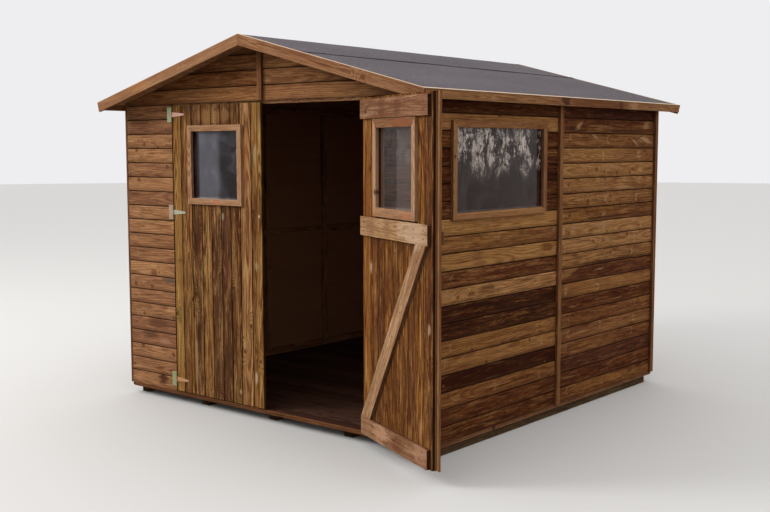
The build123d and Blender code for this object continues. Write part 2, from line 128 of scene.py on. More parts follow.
class Wiring:
    """A node tree, and the methods that add nodes to it."""

    def __init__(self, tree):
        self.tree = tree

    def node(self, kind, settings=None, sockets=None, output=0):
        """Adds a node: its settings first, then the values or wires of its sockets."""
        made = self.tree.nodes.new(kind)
        for name, value in (settings or {}).items():
            if name == "stops":
                ramp = made.color_ramp
                while len(ramp.elements) < len(value):
                    ramp.elements.new(0.5)
                for element, (place, colour) in zip(ramp.elements, value.items()):
                    element.position = place
                    element.color = linear(*colour)
            else:
                setattr(made, name, value)
        for socket, value in (sockets or {}).items():
            self.feed(made.inputs[socket], value)
        return Wire(self, made.outputs[output])

    def feed(self, socket, value):
        """Links a wire to a socket, or sets the socket's own value."""
        if isinstance(value, Wire):
            self.tree.links.new(value.socket, socket)
        else:
            socket.default_value = value

    def attribute(self, name):
        """The three parts of an attribute that the boards carry."""
        settings = {"attribute_name": name}
        return self.split(self.node("ShaderNodeAttribute", settings, output="Vector"))

    def place(self):
        return self.node("ShaderNodeTexCoord", output="Object")

    def split(self, wire):
        parts = self.node("ShaderNodeSeparateXYZ", sockets={0: wire})
        return [parts.beside(index) for index in range(3)]

    def join(self, x, y, z):
        return self.node("ShaderNodeCombineXYZ", sockets={0: x, 1: y, 2: z})

    def vector(self, operation, sockets, output="Vector"):
        return self.node("ShaderNodeVectorMath", {"operation": operation}, sockets, output)

    def noise(self, wire, scale, detail=2.0, roughness=0.5, distortion=0.0):
        """Noise from 0 to 1, with its own fineness along each direction."""
        sockets = {
            "Vector": self.vector("MULTIPLY", {0: wire, 1: scale}),
            "Scale": 1.0,
            "Detail": detail,
            "Roughness": roughness,
            "Distortion": distortion,
        }
        return self.node("ShaderNodeTexNoise", sockets=sockets, output="Fac")

    def cells(self, wire, scale, dimensions="3D"):
        """Distance from the middle of random cells; its node gives their colours too."""
        settings = {"voronoi_dimensions": dimensions}
        return self.node("ShaderNodeTexVoronoi", settings, {"Vector": wire, "Scale": scale})

    def dealt(self, number):
        """Three random shares that belong to one number."""
        settings = {"noise_dimensions": "1D"}
        return self.split(self.node("ShaderNodeTexWhiteNoise", settings, {"W": number}, "Color"))

    def step(self, wire, low, high):
        """Soft step: 0 below low and 1 above high, or the other way round."""
        settings = {"interpolation_type": "SMOOTHSTEP", "clamp": True}
        sockets = {"Value": wire, "From Min": low, "From Max": high}
        return self.node("ShaderNodeMapRange", settings, sockets)

    def ramp(self, wire, stops):
        """Colour by a share; stops are shades, from 0 to 255, by their places."""
        return self.node("ShaderNodeValToRGB", {"stops": stops}, {"Fac": wire}, "Color")

    def mix(self, share, first, second, blend="MIX"):
        """Colour mix; a share of 0 is the first colour."""
        settings = {"data_type": "RGBA", "blend_type": blend}
        return self.node("ShaderNodeMix", settings, {0: share, 6: first, 7: second}, 2)

    def over(self, colour, share, shade):
        """Lays a plain shade, from 0 to 255, over a colour."""
        return self.mix(share, colour, linear(*shade))

    def tinted(self, colour, shade):
        """A colour seen through a plain shade."""
        return self.mix(1.0, colour, linear(*shade), "MULTIPLY")

    def bump(self, height, distance, strength=1.0):
        sockets = {"Height": height, "Distance": distance, "Strength": strength}
        return self.node("ShaderNodeBump", sockets=sockets, output="Normal")

    def seen(self):
        """1 for the camera, reflections and panes, 0 for the light that is thrown back."""
        direct = self.node("ShaderNodeLightPath", output="Is Camera Ray")
        mirrored = direct.larger(direct.beside("Is Glossy Ray"))
        return mirrored.larger(direct.beside("Is Transmission Ray"))


class Finish(Wiring):
    """A material with its own wiring."""

    def __init__(self, name):
        self.material = bpy.data.materials.new(name)
        self.material.use_nodes = True
        super().__init__(self.material.node_tree)
        self.surface = self.tree.nodes["Principled BSDF"]

    def set(self, **values):
        """Sets the surface shader's sockets; Base_Color stands for Base Color."""
        for name, value in values.items():
            self.feed(self.surface.inputs[name.replace("_", " ")], value)

# %% [markdown]
# The studio is a pale floor, a soft lamp from the front left and a pale world.
# An overcast sky is brighter overhead than at the horizon, so the world is too:
# that darkens the boards under the eaves, and on the right wall the top boards'
# tones add painted shade there. The camera, reflections and panes see it plain
# white. The floor looks pale to them in the same way, but throws back much less
# light than that, so undersides stay dark.

# %% The studio
def shown(name, mesh):
    """Makes a mesh that is done into an object of the scene."""
    data = bpy.data.meshes.new(name)
    mesh.to_mesh(data)
    mesh.free()
    made = bpy.data.objects.new(name, data)
    bpy.context.scene.collection.objects.link(made)
    return made


floor_mesh = bmesh.new()
bmesh.ops.create_circle(floor_mesh, cap_ends=True, segments=96, radius=45.0)
studio_floor = shown("studio_floor", floor_mesh)
floor_paper = Finish("floor_paper")
floor_paper.set(
    Base_Color=floor_paper.mix(floor_paper.seen(), linear(124, 118, 108), linear(208, 206, 202)),
    Roughness=0.9,
)
studio_floor.data.materials.append(floor_paper.material)

world = bpy.data.worlds.new("studio_world")
bpy.context.scene.world = world
world.use_nodes = True
sky = Wiring(world.node_tree)
backdrop = sky.tree.nodes["Background"]
backdrop.inputs["Color"].default_value = linear(238, 238, 240)
upward = sky.split(sky.node("ShaderNodeTexCoord", output="Generated"))[2]
sockets = {"Value": upward, "To Min": 0.85, "To Max": 1.5}
overhead = sky.node("ShaderNodeMapRange", sockets=sockets)
sockets = {"Value": sky.seen(), "To Min": overhead, "To Max": 1.0}
sky.feed(backdrop.inputs["Strength"], sky.node("ShaderNodeMapRange", sockets=sockets))

softbox = bpy.data.objects.new("softbox", bpy.data.lights.new("softbox", "AREA"))
bpy.context.scene.collection.objects.link(softbox)
softbox.data.shape = "DISK"
softbox.data.size = 4.5
softbox.data.energy = 620.0
softbox.location = (-6.5, -8.0, 6.5)
aim = Vector((0.0, -0.8, 1.0)) - softbox.location
softbox.rotation_euler = aim.to_track_quat("-Z", "Y").to_euler()
print("softbox at", tuple(softbox.location))

# %% [markdown]
# Some marks belong to this one shed: a damp board end, a scuff, a smear of resin.
# They are frayed spots at places of their own. Knots come in whorls, one to each
# year's growth of the log, with torn grain round them. A shadow is painted beside
# the brace and the ledges' ends, where the light doesn't reach.

# %% Marks at their own places
def blotch(f, spot, centre, size, fray, rise=0.0):
    """Share of a frayed spot round a point of the shed; both are in millimetres.

    On a side wall, rise is the angle in degrees by which the spot climbs backwards.
    """
    away = f.vector("SUBTRACT", {0: spot, 1: [value * MM for value in centre]})
    if rise:
        sockets = {"Vector": away, "Angle": -math.radians(rise)}
        away = f.node("ShaderNodeVectorRotate", {"rotation_type": "X_AXIS"}, sockets)
    near = f.vector("MULTIPLY", {0: away, 1: [1.0 / (value * MM) for value in size]})
    return f.step(f.vector("LENGTH", {0: near}, "Value") + fray, 1.15, 0.55)


def whorl(f, along, across, seed, ragged, first, spacing):
    """Knots at the whorls of one log: the share of torn grain, and of the knots."""
    turn = (along - first) / spacing
    number = round(turn)
    level, present, lean = f.dealt(seed * 57.0 + number)
    past = (turn - number) * spacing + (lean - 0.5) * 0.06
    above = across - level * 0.04 - 0.024
    torn = (past + abs(above) * (lean - 0.5) * 4.0) / 0.016
    flare = (torn * torn + above * above * 800.0) ** 0.5
    flare = f.step(flare + (ragged - 0.5) * 2.8, 1.1, 0.2)
    heart = (past * past * 0.5 + above * above) ** 0.5
    heart = f.step(heart + (ragged - 0.5) * 0.012, 0.009, 0.005)
    there = present > 0.3
    return flare * there, heart * there


leaf_line, leaf_start = (0.9063, 0.4226), (0.7851, 1.259)
brace_line, brace_start = (0.843, 0.538), (0.077, 0.171)
ledge_middles = (0.1235, 1.1925, 1.7985)


def nooks(f, place, through):
    """Painted shadow beside the brace and the ledges' ends, inside the right leaf."""
    x, y, height = f.split(place)
    reach = (x - leaf_start[0]) * leaf_line[0] - (y + leaf_start[1]) * leaf_line[1]
    from_brace = (reach - brace_start[0]) * brace_line[0]
    from_brace = from_brace - (height - brace_start[1]) * brace_line[1]
    share = f.step(from_brace, 0.038, 0.012) * f.step(from_brace, -0.06, -0.05)
    share = share * f.step(height, 1.2, 1.15)
    past_end = f.step(reach, 0.785, 0.765) * f.step(reach, 0.70, 0.72)
    for ledge_middle in ledge_middles:
        share = share + past_end * f.step(abs(height - ledge_middle), 0.058, 0.046)
    return share * f.step(through, 0.004, 0.001)

# %% [markdown]
# Sawn softwood has three scales of pattern: growth rings that show as arches
# where the board was cut near the heart, fine fibres, and stains from weather
# and from the brown preservative. Each board carries attributes on its points:
# where the point lies in that board (along, across, through), the board's own
# tone, streakiness and seed, and how warm, knotty and ruddy it is. The pattern
# is solid, so faces, edges and end grain agree.

# %% The wood finish
streak_kinds = (  # fineness, noise, pull, step, gain and base, strength
    ((3.0, 32.0, 20.0), (6.0, 0.76, 0.3), 0.1, (0.55, 0.60), (0.8, 0.1), 0.85),
    ((5.5, 80.0, 40.0), (4.0, 0.7, 0.2), 0.09, (0.57, 0.62), (0.8, 0.08), 0.8),
    ((9.0, 70.0, 40.0), (4.0, 0.7, 0.2), 0.06, (0.585, 0.625), (0.7, 0.1), 0.8),
)


def single_knots(f, spot, rare):
    """Knots in random cells: the knot, its rim, and the bend of the grain round it."""
    cells = f.cells(spot, 7.0, "2D")
    pick, girth, slant = f.split(cells.beside("Color"))
    along, across, _ = f.split(f.vector("SUBTRACT", {0: spot, 1: cells.beside("Position")}))
    grown = pick > rare
    oval = (along * along * 0.6 + across * across) ** 0.5 / (girth * 0.008 + 0.005)
    leaning = across + along * (slant - 0.5) * 0.7
    swirl = (along * along * 0.10 + leaning * leaning) ** 0.5
    knot, rim = f.step(oval, 1.05, 0.75) * grown, f.step(oval, 1.6, 1.0) * grown
    return knot, rim, f.step(swirl, 0.038, 0.0) * grown


def growth_rings(f, spot, across, through, luck, fortune, ring_gap, bend):
    """The fibres, and the dark late wood of the rings round a log's wandering heart."""
    wander = f.noise(spot, (1.4, 9.0, 9.0)) - 0.5
    core = f.noise(spot, (0.8, 0.0, 0.0)) - 0.5
    side = across + wander * 0.034 - (luck - 0.5) * 0.09 - 0.045
    depth = core * 0.14 + fortune * 0.05 + through
    ring = (side * side + depth * depth) ** 0.5 / (ring_gap * MM) + bend * 4.0
    fibre = f.noise(spot, (9.0, 420.0, 420.0))
    wave = (ring + fibre * 0.6).fraction()
    return fibre, f.step(wave, 0.3, 0.85) * f.step(wave, 1.0, 0.92)


def wood(
    name, shades, stain, mark=1.0, ring_gap=6.0, knots=0.72, contrast=1.0, run=3.6, edge=0.85,
    heart=(58, 34, 22), whorls=None, halo=None, marks=(), arris=None, top_highlight=None, lap=None,
    groove=None, paints_nook_shadow=False, indoors=None,
):
    """Wood whose shades run from pale to dark boards; stain is the dark streaks' colour.

    Mark is how strong the streaks are, ring_gap is in millimetres, knots is how rare
    they are, heart is their colour and run is how often a streak starts in a metre.
    Edge is how dark sawn ends and sides are made: an end for its own end grain and for
    painted shade, a side for painted shade only. Arris is how pale worn corners are,
    and top_highlight how pale upward faces are painted, a painted highlight. Whorls are
    the first whorl of knots and the space to the next, with halo as the torn grain's
    colour. Lap is the width in metres above which a shiplap board is darker under the
    next one, for dirt and painted shade, and then each board is darker at its foot
    too. Groove is half the thickness of a board whose joints hold dirt,
    paints_nook_shadow lays a painted shadow beside the right leaf's brace and ledges'
    ends, and indoors is the colour of the unbleached back. Marks are spots that this
    shed has at places of its own.
    """
    f = Finish(name)
    along, across, through = f.attribute("grain")
    tone, streaks, seed = f.attribute("board")
    warmth, knotty, ruddy = f.attribute("tint")
    ends, sides, corners = f.attribute("sawn")
    spot = f.join(along + seed * 61.0, across + seed * 23.0, through + seed * 7.0)
    luck, fortune, hap = f.dealt(seed)
    warmth = warmth + (hap - 0.5) * 0.4
    knot, rim, bend = single_knots(f, spot, knots)
    fibre, late = growth_rings(f, spot, across, through, luck, fortune, ring_gap, bend)

    band = f.noise(spot, (1.7, 40.0, 22.0), 3.0, 0.62)
    cloud = f.noise(spot, (0.9, 5.0, 5.0), 3.0)
    worn = f.noise(spot, (3.4, 46.0, 30.0), 5.0, 0.7, 0.3)
    ragged = f.noise(spot, (run, 44.0, 26.0), 6.0, 0.76, 0.3)
    fleck = f.noise(spot, (11.0, 120.0, 60.0), 3.0, 0.7)
    rough = (streaks * 1.5 + 0.75) * contrast
    shade = tone + (band - 0.5) * (0.8 * contrast) + (cloud - 0.5) * (0.9 * contrast)
    shade = shade + (ragged - 0.5) * rough + (fleck - 0.5) * rough * 0.7

    colour = f.ramp(shade, shades)
    cool = f.tinted(colour, (248, 250, 230))
    rosy = f.over(colour, 0.3, (164, 125, 102))
    cool = f.mix(f.step(cloud + warmth * 0.5, 0.45, 0.75), cool, colour)
    colour = f.mix(f.step(warmth, 0.3, 0.9), cool, rosy)
    colour = f.mix(ruddy, colour, f.tinted(colour, (255, 236, 206)))
    ringed = f.tinted(colour, (160, 124, 98))
    colour = f.mix(late * (0.85 * contrast), colour, ringed)
    rubbed_bare = f.step(worn, 0.56, 0.64) * f.step(tone, 1.3, 0.6)
    palest = shades[0.0]
    colour = f.mix(rubbed_bare * (0.75 * contrast), colour, f.over(colour, 0.6, palest))
    for fineness, kind, pull, (low, high), (gain, base), strength in streak_kinds:
        wet = f.step(f.noise(spot, fineness, *kind) + streaks * pull, low, high)
        colour = f.over(colour, wet * (streaks * gain + base) * (strength * mark), stain)
    if whorls:
        flare, core = whorl(f, along, across, seed, ragged, *whorls)
        flare = flare * knotty * f.step(tone, 0.75, 0.4)
        colour = f.over(colour, flare * 0.55, halo)
        colour = f.over(colour, core * knotty * 0.5, stain)
    colour = f.mix(rim * 0.5, colour, ringed)
    colour = f.over(colour, knot * 0.75, heart)
    colour = f.vector("SCALE", {0: colour, "Scale": fibre * 0.5 + 0.75})

    place = f.place()
    fray = (ragged - 0.5) * 3.0
    for centre, size, tint, share, *rise in marks:
        colour = f.over(colour, blotch(f, place, centre, size, fray, *rise) * share, tint)
    # Ends darker for their end grain and for painted shade, sides for painted shade.
    colour = f.mix((ends + sides * 0.5) * edge, colour, f.tinted(colour, (112, 92, 84)))
    if arris:
        colour = f.over(colour, corners * f.step(ragged, 0.4, 0.6) * arris, palest)
    # Upward faces are painted paler: a painted highlight of the sky.
    if top_highlight:
        upper = f.split(f.node("ShaderNodeNewGeometry", output="Normal"))[2]
        colour = f.over(colour, f.step(upper, 0.35, 0.75) * top_highlight, (226, 204, 178))
    # Dirt and painted shade under the next board's lap; darker towards each foot.
    if lap:
        lap_dirt_and_shade = f.step(across + (band - 0.5) * 0.006, lap - 0.003, lap + 0.001)
        foot = f.step(across - (band - 0.5) * 0.01, 0.024, 0.0)
        colour = f.over(colour, lap_dirt_and_shade * 0.8, (46, 24, 14))
        colour = f.over(colour, foot * 0.4, (66, 38, 22))
    if groove:
        sunk = f.step(abs(through - groove), groove - 0.0006, groove - 0.0016)
        colour = f.over(colour, sunk * 0.8, (34, 19, 12))
    # A shadow is painted beside the right leaf's brace and ledges' ends.
    if paints_nook_shadow:
        colour = f.over(colour, nooks(f, place, through) * 0.8, (26, 15, 9))
    if indoors:
        colour = f.over(colour, f.step(through, 0.004, 0.001) * 0.85, indoors)
    height = fibre * 0.5 + late * 0.45 - knot * 0.4 + band * 0.4
    f.set(
        Base_Color=colour,
        Roughness=(band - 0.5) * 0.2 - late * 0.06 + 0.78,
        Normal=f.bump(height, 0.0012, 0.8),
        Specular_IOR_Level=0.05,
    )
    print(name, len(f.tree.nodes), "nodes")
    return f.material

# %% [markdown]
# The shed's marks were read off the photograph, board by board. A row gives a
# mark's middle and its half width and half height in millimetres, its colour,
# how strong it is and, where it slants, its rise.

# %% Where the marks are
def front_marks(depth, *rows):
    """Rows of x, height, half width and half height on the front wall or the left leaf."""
    return [((x, -1235, z), (wide, depth, high), *rest) for x, z, wide, high, *rest in rows]


wall_marks = front_marks(
    40,
    (-928, 124, 62, 44, (66, 32, 17), 0.85),
    (-846, 768, 72, 22, (84, 70, 58), 0.75),
    (-978, 490, 100, 36, (88, 54, 38), 0.7),
    (-1050, 405, 95, 30, (80, 54, 40), 0.7),
    (-912, 378, 60, 20, (176, 134, 108), 0.35),
    (-1003, 806, 34, 24, (100, 58, 38), 0.7),
)
for y, z, wide, high, *rest in (
    (200, 1726, 54, 17, (170, 132, 94), 0.7, 28),
    (1090, 1745, 46, 24, (160, 124, 88), 0.65, 20),
    (460, 1716, 44, 14, (132, 96, 62), 0.5, 24),
    (108, 1716, 72, 12, (46, 20, 8), 0.75),
    (840, 1704, 340, 12, (62, 34, 18), 0.65),
    (398, 1667, 44, 11, (170, 130, 96), 0.7, -20),
    (925, 1640, 66, 10, (168, 130, 94), 0.7, -26),
    (1090, 1648, 110, 16, (178, 142, 108), 0.75, -16),
    (215, 1626, 110, 8, (154, 114, 76), 0.5, -8),
    (110, 1562, 46, 14, (164, 122, 84), 0.5, -30),
    (975, 1562, 18, 30, (160, 122, 88), 0.5),
    (250, 1488, 90, 9, (170, 134, 92), 0.55, -24),
    (600, 1480, 110, 12, (166, 130, 92), 0.45, -6),
    (780, 1347, 240, 6, (186, 150, 110), 0.6, -1),
    (960, 1398, 40, 10, (160, 122, 86), 0.5, -20),
    (265, 1290, 12, 32, (150, 112, 76), 0.5, 20),
    (528, 1290, 14, 30, (158, 120, 84), 0.55, 20),
    (640, 1168, 400, 8, (58, 28, 14), 0.8, 1),
    (525, 1186, 34, 11, (164, 126, 92), 0.65, 10),
    (106, 1194, 18, 10, (58, 30, 16), 0.7),
    (150, 1118, 46, 20, (168, 126, 92), 0.45),
    (500, 1118, 90, 16, (172, 130, 92), 0.5),
    (935, 1125, 40, 20, (164, 122, 86), 0.45),
    (850, 1043, 18, 11, (80, 46, 24), 0.75, 30),
    (402, 1022, 15, 12, (96, 58, 34), 0.65),
    (680, 888, 540, 11, (58, 26, 10), 0.8),
    (90, 850, 120, 22, (150, 106, 64), 0.6, 8),
    (490, 842, 62, 8, (150, 114, 80), 0.7),
    (-1020, 1190, 20, 14, (168, 124, 84), 0.5),
    (-1100, 1106, 110, 9, (156, 102, 56), 0.5),
    (-68, 1122, 28, 24, (150, 114, 82), 0.5),
    (-150, 1026, 84, 26, (100, 56, 28), 0.75),
    (-865, 1022, 46, 20, (108, 70, 38), 0.5),
    (-560, 922, 330, 16, (68, 26, 8), 0.6),
    (-905, 832, 36, 16, (90, 52, 28), 0.65),
):
    wall_marks.append(((1240, y, z), (40, wide, high), *rest))
leaf_marks = front_marks(
    30,
    (-340, 1193, 10, 27, (166, 152, 124), 0.8),
    (-60, 1570, 14, 60, (156, 138, 100), 0.7),
    (-58, 915, 18, 40, (158, 140, 102), 0.7),
    (-30, 1205, 8, 14, (190, 176, 150), 0.8),
    (-70, 250, 16, 50, (190, 166, 134), 0.7),
    (-170, 440, 14, 40, (176, 140, 98), 0.6),
    (-755, 560, 26, 60, (96, 82, 46), 0.6),
    (-205, 150, 12, 22, (180, 152, 122), 0.7),
    (-640, 1836, 16, 18, (84, 74, 58), 0.8),
    (-590, 1010, 22, 110, (52, 26, 12), 0.8),
    (-575, 420, 20, 130, (54, 28, 14), 0.75),
    (-562, 1080, 15, 160, (74, 38, 22), 0.8),
    (-405, 905, 17, 90, (72, 36, 20), 0.75),
    (-402, 660, 18, 100, (72, 40, 24), 0.75),
    (-400, 210, 24, 140, (68, 38, 22), 0.75),
    (-322, 1130, 24, 100, (86, 52, 38), 0.6),
    (-316, 860, 20, 120, (92, 48, 34), 0.7),
    (-320, 300, 26, 240, (74, 44, 28), 0.65),
    (-246, 560, 12, 240, (80, 48, 28), 0.7),
    (-470, 960, 8, 260, (172, 136, 92), 0.55),
    (-600, 260, 16, 170, (174, 136, 90), 0.6),
    (-742, 905, 20, 14, (100, 72, 38), 0.65),
    (-150, 1500, 32, 190, (168, 110, 62), 0.5),
    (-150, 880, 24, 60, (180, 140, 92), 0.5),
    (-420, 1790, 200, 46, (158, 116, 74), 0.45),
)
leaf_marks += (
    ((876, -1301, 982), (13, 36, 40), (190, 160, 136), 0.8),
    ((957, -1339, 655), (26, 42, 80), (84, 44, 28), 0.75),
    ((1048, -1382, 885), (24, 42, 120), (100, 52, 30), 0.7),
    ((1470, -1578, 745), (16, 42, 38), (180, 146, 110), 0.7),
    ((1196, -1450, 380), (14, 42, 56), (160, 120, 76), 0.55),
    ((1381, -1537, 240), (10, 42, 76), (170, 124, 94), 0.5),
    ((1148, -1428, 1060), (8, 42, 76), (160, 122, 78), 0.55),
)
ledge_marks = (
    ((1340, -1530, 1194), (190, 130, 80), (204, 174, 146), 0.5),
    ((900, -1325, 1190), (60, 60, 70), (138, 98, 72), 0.55),
    ((1075, -1410, 1200), (50, 60, 70), (136, 96, 72), 0.55),
    ((1000, -1372, 124), (100, 80, 60), (196, 150, 118), 0.6),
    ((1190, -1460, 120), (80, 60, 50), (104, 60, 38), 0.65),
    ((1410, -1560, 128), (80, 60, 60), (184, 138, 108), 0.5),
    ((1020, -1385, 1800), (40, 60, 60), (100, 62, 40), 0.5),
    ((1180, -1458, 1800), (36, 60, 60), (98, 60, 38), 0.5),
)
edge_marks = (
    ((1325, -70, 1866), (60, 50, 60), (60, 34, 20), 0.85),
    ((1325, 330, 1866), (60, 420, 60), (104, 58, 32), 0.75),
    ((1325, 770, 1866), (60, 70, 60), (176, 134, 98), 0.6),
    ((1325, 600, 1866), (60, 26, 60), (70, 40, 26), 0.6),
    ((-900, -1430, 1990), (120, 60, 60), (176, 120, 70), 0.4),
    ((520, -1430, 2110), (140, 60, 60), (120, 74, 48), 0.45),
)
bar_marks = (
    ((-375, -1253, 1272), (34, 30, 16), (192, 112, 84), 0.7),
    ((1270, -1498, 1272), (70, 50, 20), (184, 114, 82), 0.55),
    ((1230, -1480, 1724), (170, 100, 20), (146, 86, 56), 0.6),
    ((960, -1352, 1272), (60, 50, 20), (170, 124, 78), 0.5),
)
print(len(wall_marks), "marks on the walls,", len(leaf_marks), "on the leaves")

# %% [markdown]
# All the timber had the same brown preservative, but light and rain have changed
# each kind in its own way: the cladding is weathered, the leaves stay yellow
# under the gable, and the planed ledges and frames are paler.

# %% The kinds of wood
cladding_wood = wood(
    "cladding_wood",
    {
        0.0: (188, 138, 86),
        0.3: (160, 111, 66),
        0.55: (130, 82, 46),
        0.78: (94, 48, 22),
        1.0: (60, 22, 3),
    },
    (44, 18, 4), 0.8, 9.0, contrast=0.72, run=6.0, heart=(104, 66, 42), whorls=(0.10, 0.445),
    halo=(196, 156, 112), marks=wall_marks, lap=0.0845, indoors=(168, 118, 86),
)
leaf_wood = wood(
    "leaf_wood",
    {0.0: (180, 138, 84), 0.35: (152, 108, 62), 0.6: (122, 78, 40), 1.0: (74, 43, 24)},
    (58, 30, 14), 0.9, 9.0, contrast=1.35, marks=leaf_marks, groove=0.008, paints_nook_shadow=True,
)
ledge_wood = wood(
    "ledge_wood",
    {0.0: (212, 172, 136), 0.3: (177, 137, 97), 0.6: (146, 104, 74), 1.0: (106, 68, 46)},
    (116, 72, 48), 0.7, 9.0, 0.86, 0.7, run=7.0, edge=1.2, marks=ledge_marks, arris=0.5,
)
roof_edge_wood = wood(
    "roof_edge_wood",
    {0.0: (186, 142, 102), 0.5: (154, 108, 72), 1.0: (110, 70, 44)},
    (110, 66, 40), 0.8, knots=0.93, contrast=0.9, edge=0.3, heart=(104, 62, 40),
    marks=edge_marks, arris=0.6, top_highlight=0.8,
)
trim_wood = wood(
    "trim_wood",
    {0.0: (184, 136, 92), 0.5: (146, 98, 62), 1.0: (94, 56, 34)},
    (72, 42, 28), 0.6, 4.0, 0.95, 0.8, arris=0.35,
)
leaf_frame_wood = wood(
    "leaf_frame_wood",
    {0.0: (200, 160, 124), 0.5: (164, 120, 84), 1.0: (112, 72, 46)},
    (96, 58, 38), 0.5, 4.0, 0.95, 0.8, edge=0.4, marks=bar_marks, arris=0.7,
)
framing_shades = {0.0: (206, 158, 118), 0.5: (176, 128, 92), 1.0: (130, 90, 64)}
framing_wood = wood("framing_wood", framing_shades, (60, 38, 26), 0.6)
# The floor's shades are darker than the wood's own: partly painted shade of the dim inside.
floor_shades = {0.0: (96, 64, 48), 0.5: (70, 46, 35), 1.0: (44, 29, 23)}
floor_wood = wood("floor_wood", floor_shades, (54, 32, 26), 0.7)
bearer_shades = {0.0: (138, 118, 78), 0.5: (108, 88, 58), 1.0: (78, 60, 42)}
bearer_wood = wood("bearer_wood", bearer_shades, (52, 40, 30), 0.8)
roof_board_wood = wood("roof_board_wood", framing_shades, (60, 38, 26), 0.6)

# %% [markdown]
# Every timber is made lying along x in its own frame: x runs with the grain, y
# across the board and z through it, in millimetres. A milled outline is
# extruded to length, planes cut it, and only then is it put in its place. The
# grain is marked before the board is moved, as it would be at the sawmill.

# %% Milling, cutting and joining boards
def milled(outline, length):
    """A board of one outline, given as (across, through), extruded along the grain."""
    stock = bmesh.new()
    points = [stock.verts.new((0.0, across, through)) for across, through in outline]
    face = stock.faces.new(points)
    grown = bmesh.ops.extrude_face_region(stock, geom=[face])
    moved = [item for item in grown["geom"] if isinstance(item, bmesh.types.BMVert)]
    bmesh.ops.translate(stock, verts=moved, vec=(length, 0.0, 0.0))
    bmesh.ops.recalc_face_normals(stock, faces=stock.faces)
    return stock


def sawn(stock, point, outward):
    """Cuts a board by a plane in its own frame and closes the cut."""
    everything = stock.verts[:] + stock.edges[:] + stock.faces[:]
    bmesh.ops.bisect_plane(
        stock, geom=everything, dist=1e-4, plane_co=point, plane_no=outward, clear_outer=True
    )
    rim = [edge for edge in stock.edges if edge.is_boundary]
    if rim:
        bmesh.ops.holes_fill(stock, edges=rim)


def eased(stock, width, sharp=math.radians(25)):
    """Takes the sharp arrises off a board."""
    edges = [e for e in stock.edges if len(e.link_faces) == 2 and e.calc_face_angle() > sharp]
    bmesh.ops.bevel(
        stock, geom=edges, offset=width, segments=2, affect="EDGES", profile=0.5, material=-1
    )


def placed(origin, along, across):
    """The place of a board: its corner in millimetres, and two of its directions."""
    along, across = Vector(along).normalized(), Vector(across).normalized()
    basis = Matrix((along, across, along.cross(across))).transposed().to_4x4()
    return Matrix.Translation(Vector(origin) * MM) @ basis @ Matrix.Scale(MM, 4)


def sawn_in_place(stock, place, point, outward):
    """Cuts a board by a plane that is given in the shed's frame."""
    local = place.inverted() @ (Vector(point) * MM)
    sawn(stock, local, place.to_3x3().transposed() @ Vector(outward))


def fitted(name, mesh, body, material, node=None):
    """Makes a gathered mesh one object that rides on a body, maybe for a CAD node."""
    piece = shown(name, mesh)
    piece.data.materials.append(material)
    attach(piece, body)
    if node:
        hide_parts(node)
    print(f"{name}: {len(piece.data.polygons)} faces")
    return piece


class Joinery:
    """One piece of the shed, gathered board by board into one mesh."""

    def __init__(self, name, seed):
        self.name = name
        self.mesh = bmesh.new()
        self.draw = random.Random(seed)
        for layer in ("grain", "board", "tint"):
            self.mesh.verts.layers.float_vector.new(layer)
        self.mesh.faces.layers.float_vector.new("sawn")

    def take(self, stock, place, tone, streaks, seed=None, warmth=0.5, knotty=0.0, ruddy=0.0):
        """Marks a board's grain in its own frame, then puts it in its place."""
        layers = stock.verts.layers.float_vector
        grain, board, tint = (layers.new(layer) for layer in ("grain", "board", "tint"))
        seed = self.draw.random() if seed is None else seed
        for vert in stock.verts:
            vert[grain] = vert.co * MM
            vert[board] = (tone, streaks, seed)
            vert[tint] = (warmth, knotty, ruddy)
        cut = stock.faces.layers.float_vector.new("sawn")
        stock.normal_update()
        for face in stock.faces:
            end, side, broad = (abs(share) for share in face.normal)
            # Ends are darkened for end grain and painted shade, sides for painted shade only.
            face[cut] = (end > 0.9, side > 0.9, max(end, side, broad) < 0.93)
        stock.transform(place)
        loose = bpy.data.meshes.new("loose")
        stock.to_mesh(loose)
        stock.free()
        self.mesh.from_mesh(loose)
        bpy.data.meshes.remove(loose)

    def done(self, body, material, node):
        fitted(self.name, self.mesh, body, material, node)

# %% [markdown]
# The horizontal cladding is shiplap: the top of each board is scooped back, and
# the board above laps over it, so rain runs off and each joint throws a dark
# line. The outline below is that moulding, 90 mm of cover and 16 mm thick.

# %% Shiplap walls
cover = 90.0
board_depth = 16.0
wall_foot = 70.0
gable_foot = 1870.0
half_width = 1240.0
half_depth = 1235.0
back_of_side = half_width - board_depth
back_of_front = half_depth - board_depth
panel_joint = -25.0
doorway_side = 797.0
beside_doorway = half_width - doorway_side
front_half, rear_half = back_of_front + panel_joint, back_of_front - panel_joint
window_hole = (153.0, 997.0, 1261.4, 1706.4)
to_right, to_left, to_back, to_front = (1, 0, 0), (-1, 0, 0), (0, 1, 0), (0, -1, 0)
under_ridge = 2212.49
pitch = math.radians(14.7)
roof_rise = math.tan(pitch)
shiplap = [(0.0, 0.0), (cover, 0.0), (cover, 4.0), (cover - 4.2, 4.0), (cover - 4.6, 10.0)]
shiplap += [(cover - 6.0, 12.8), (cover - 8.4, 14.8), (cover - 11.0, 15.8)]
shiplap += [(cover - 13.0, board_depth), (1.4, board_depth), (0.4, 15.6), (0.0, 14.8)]


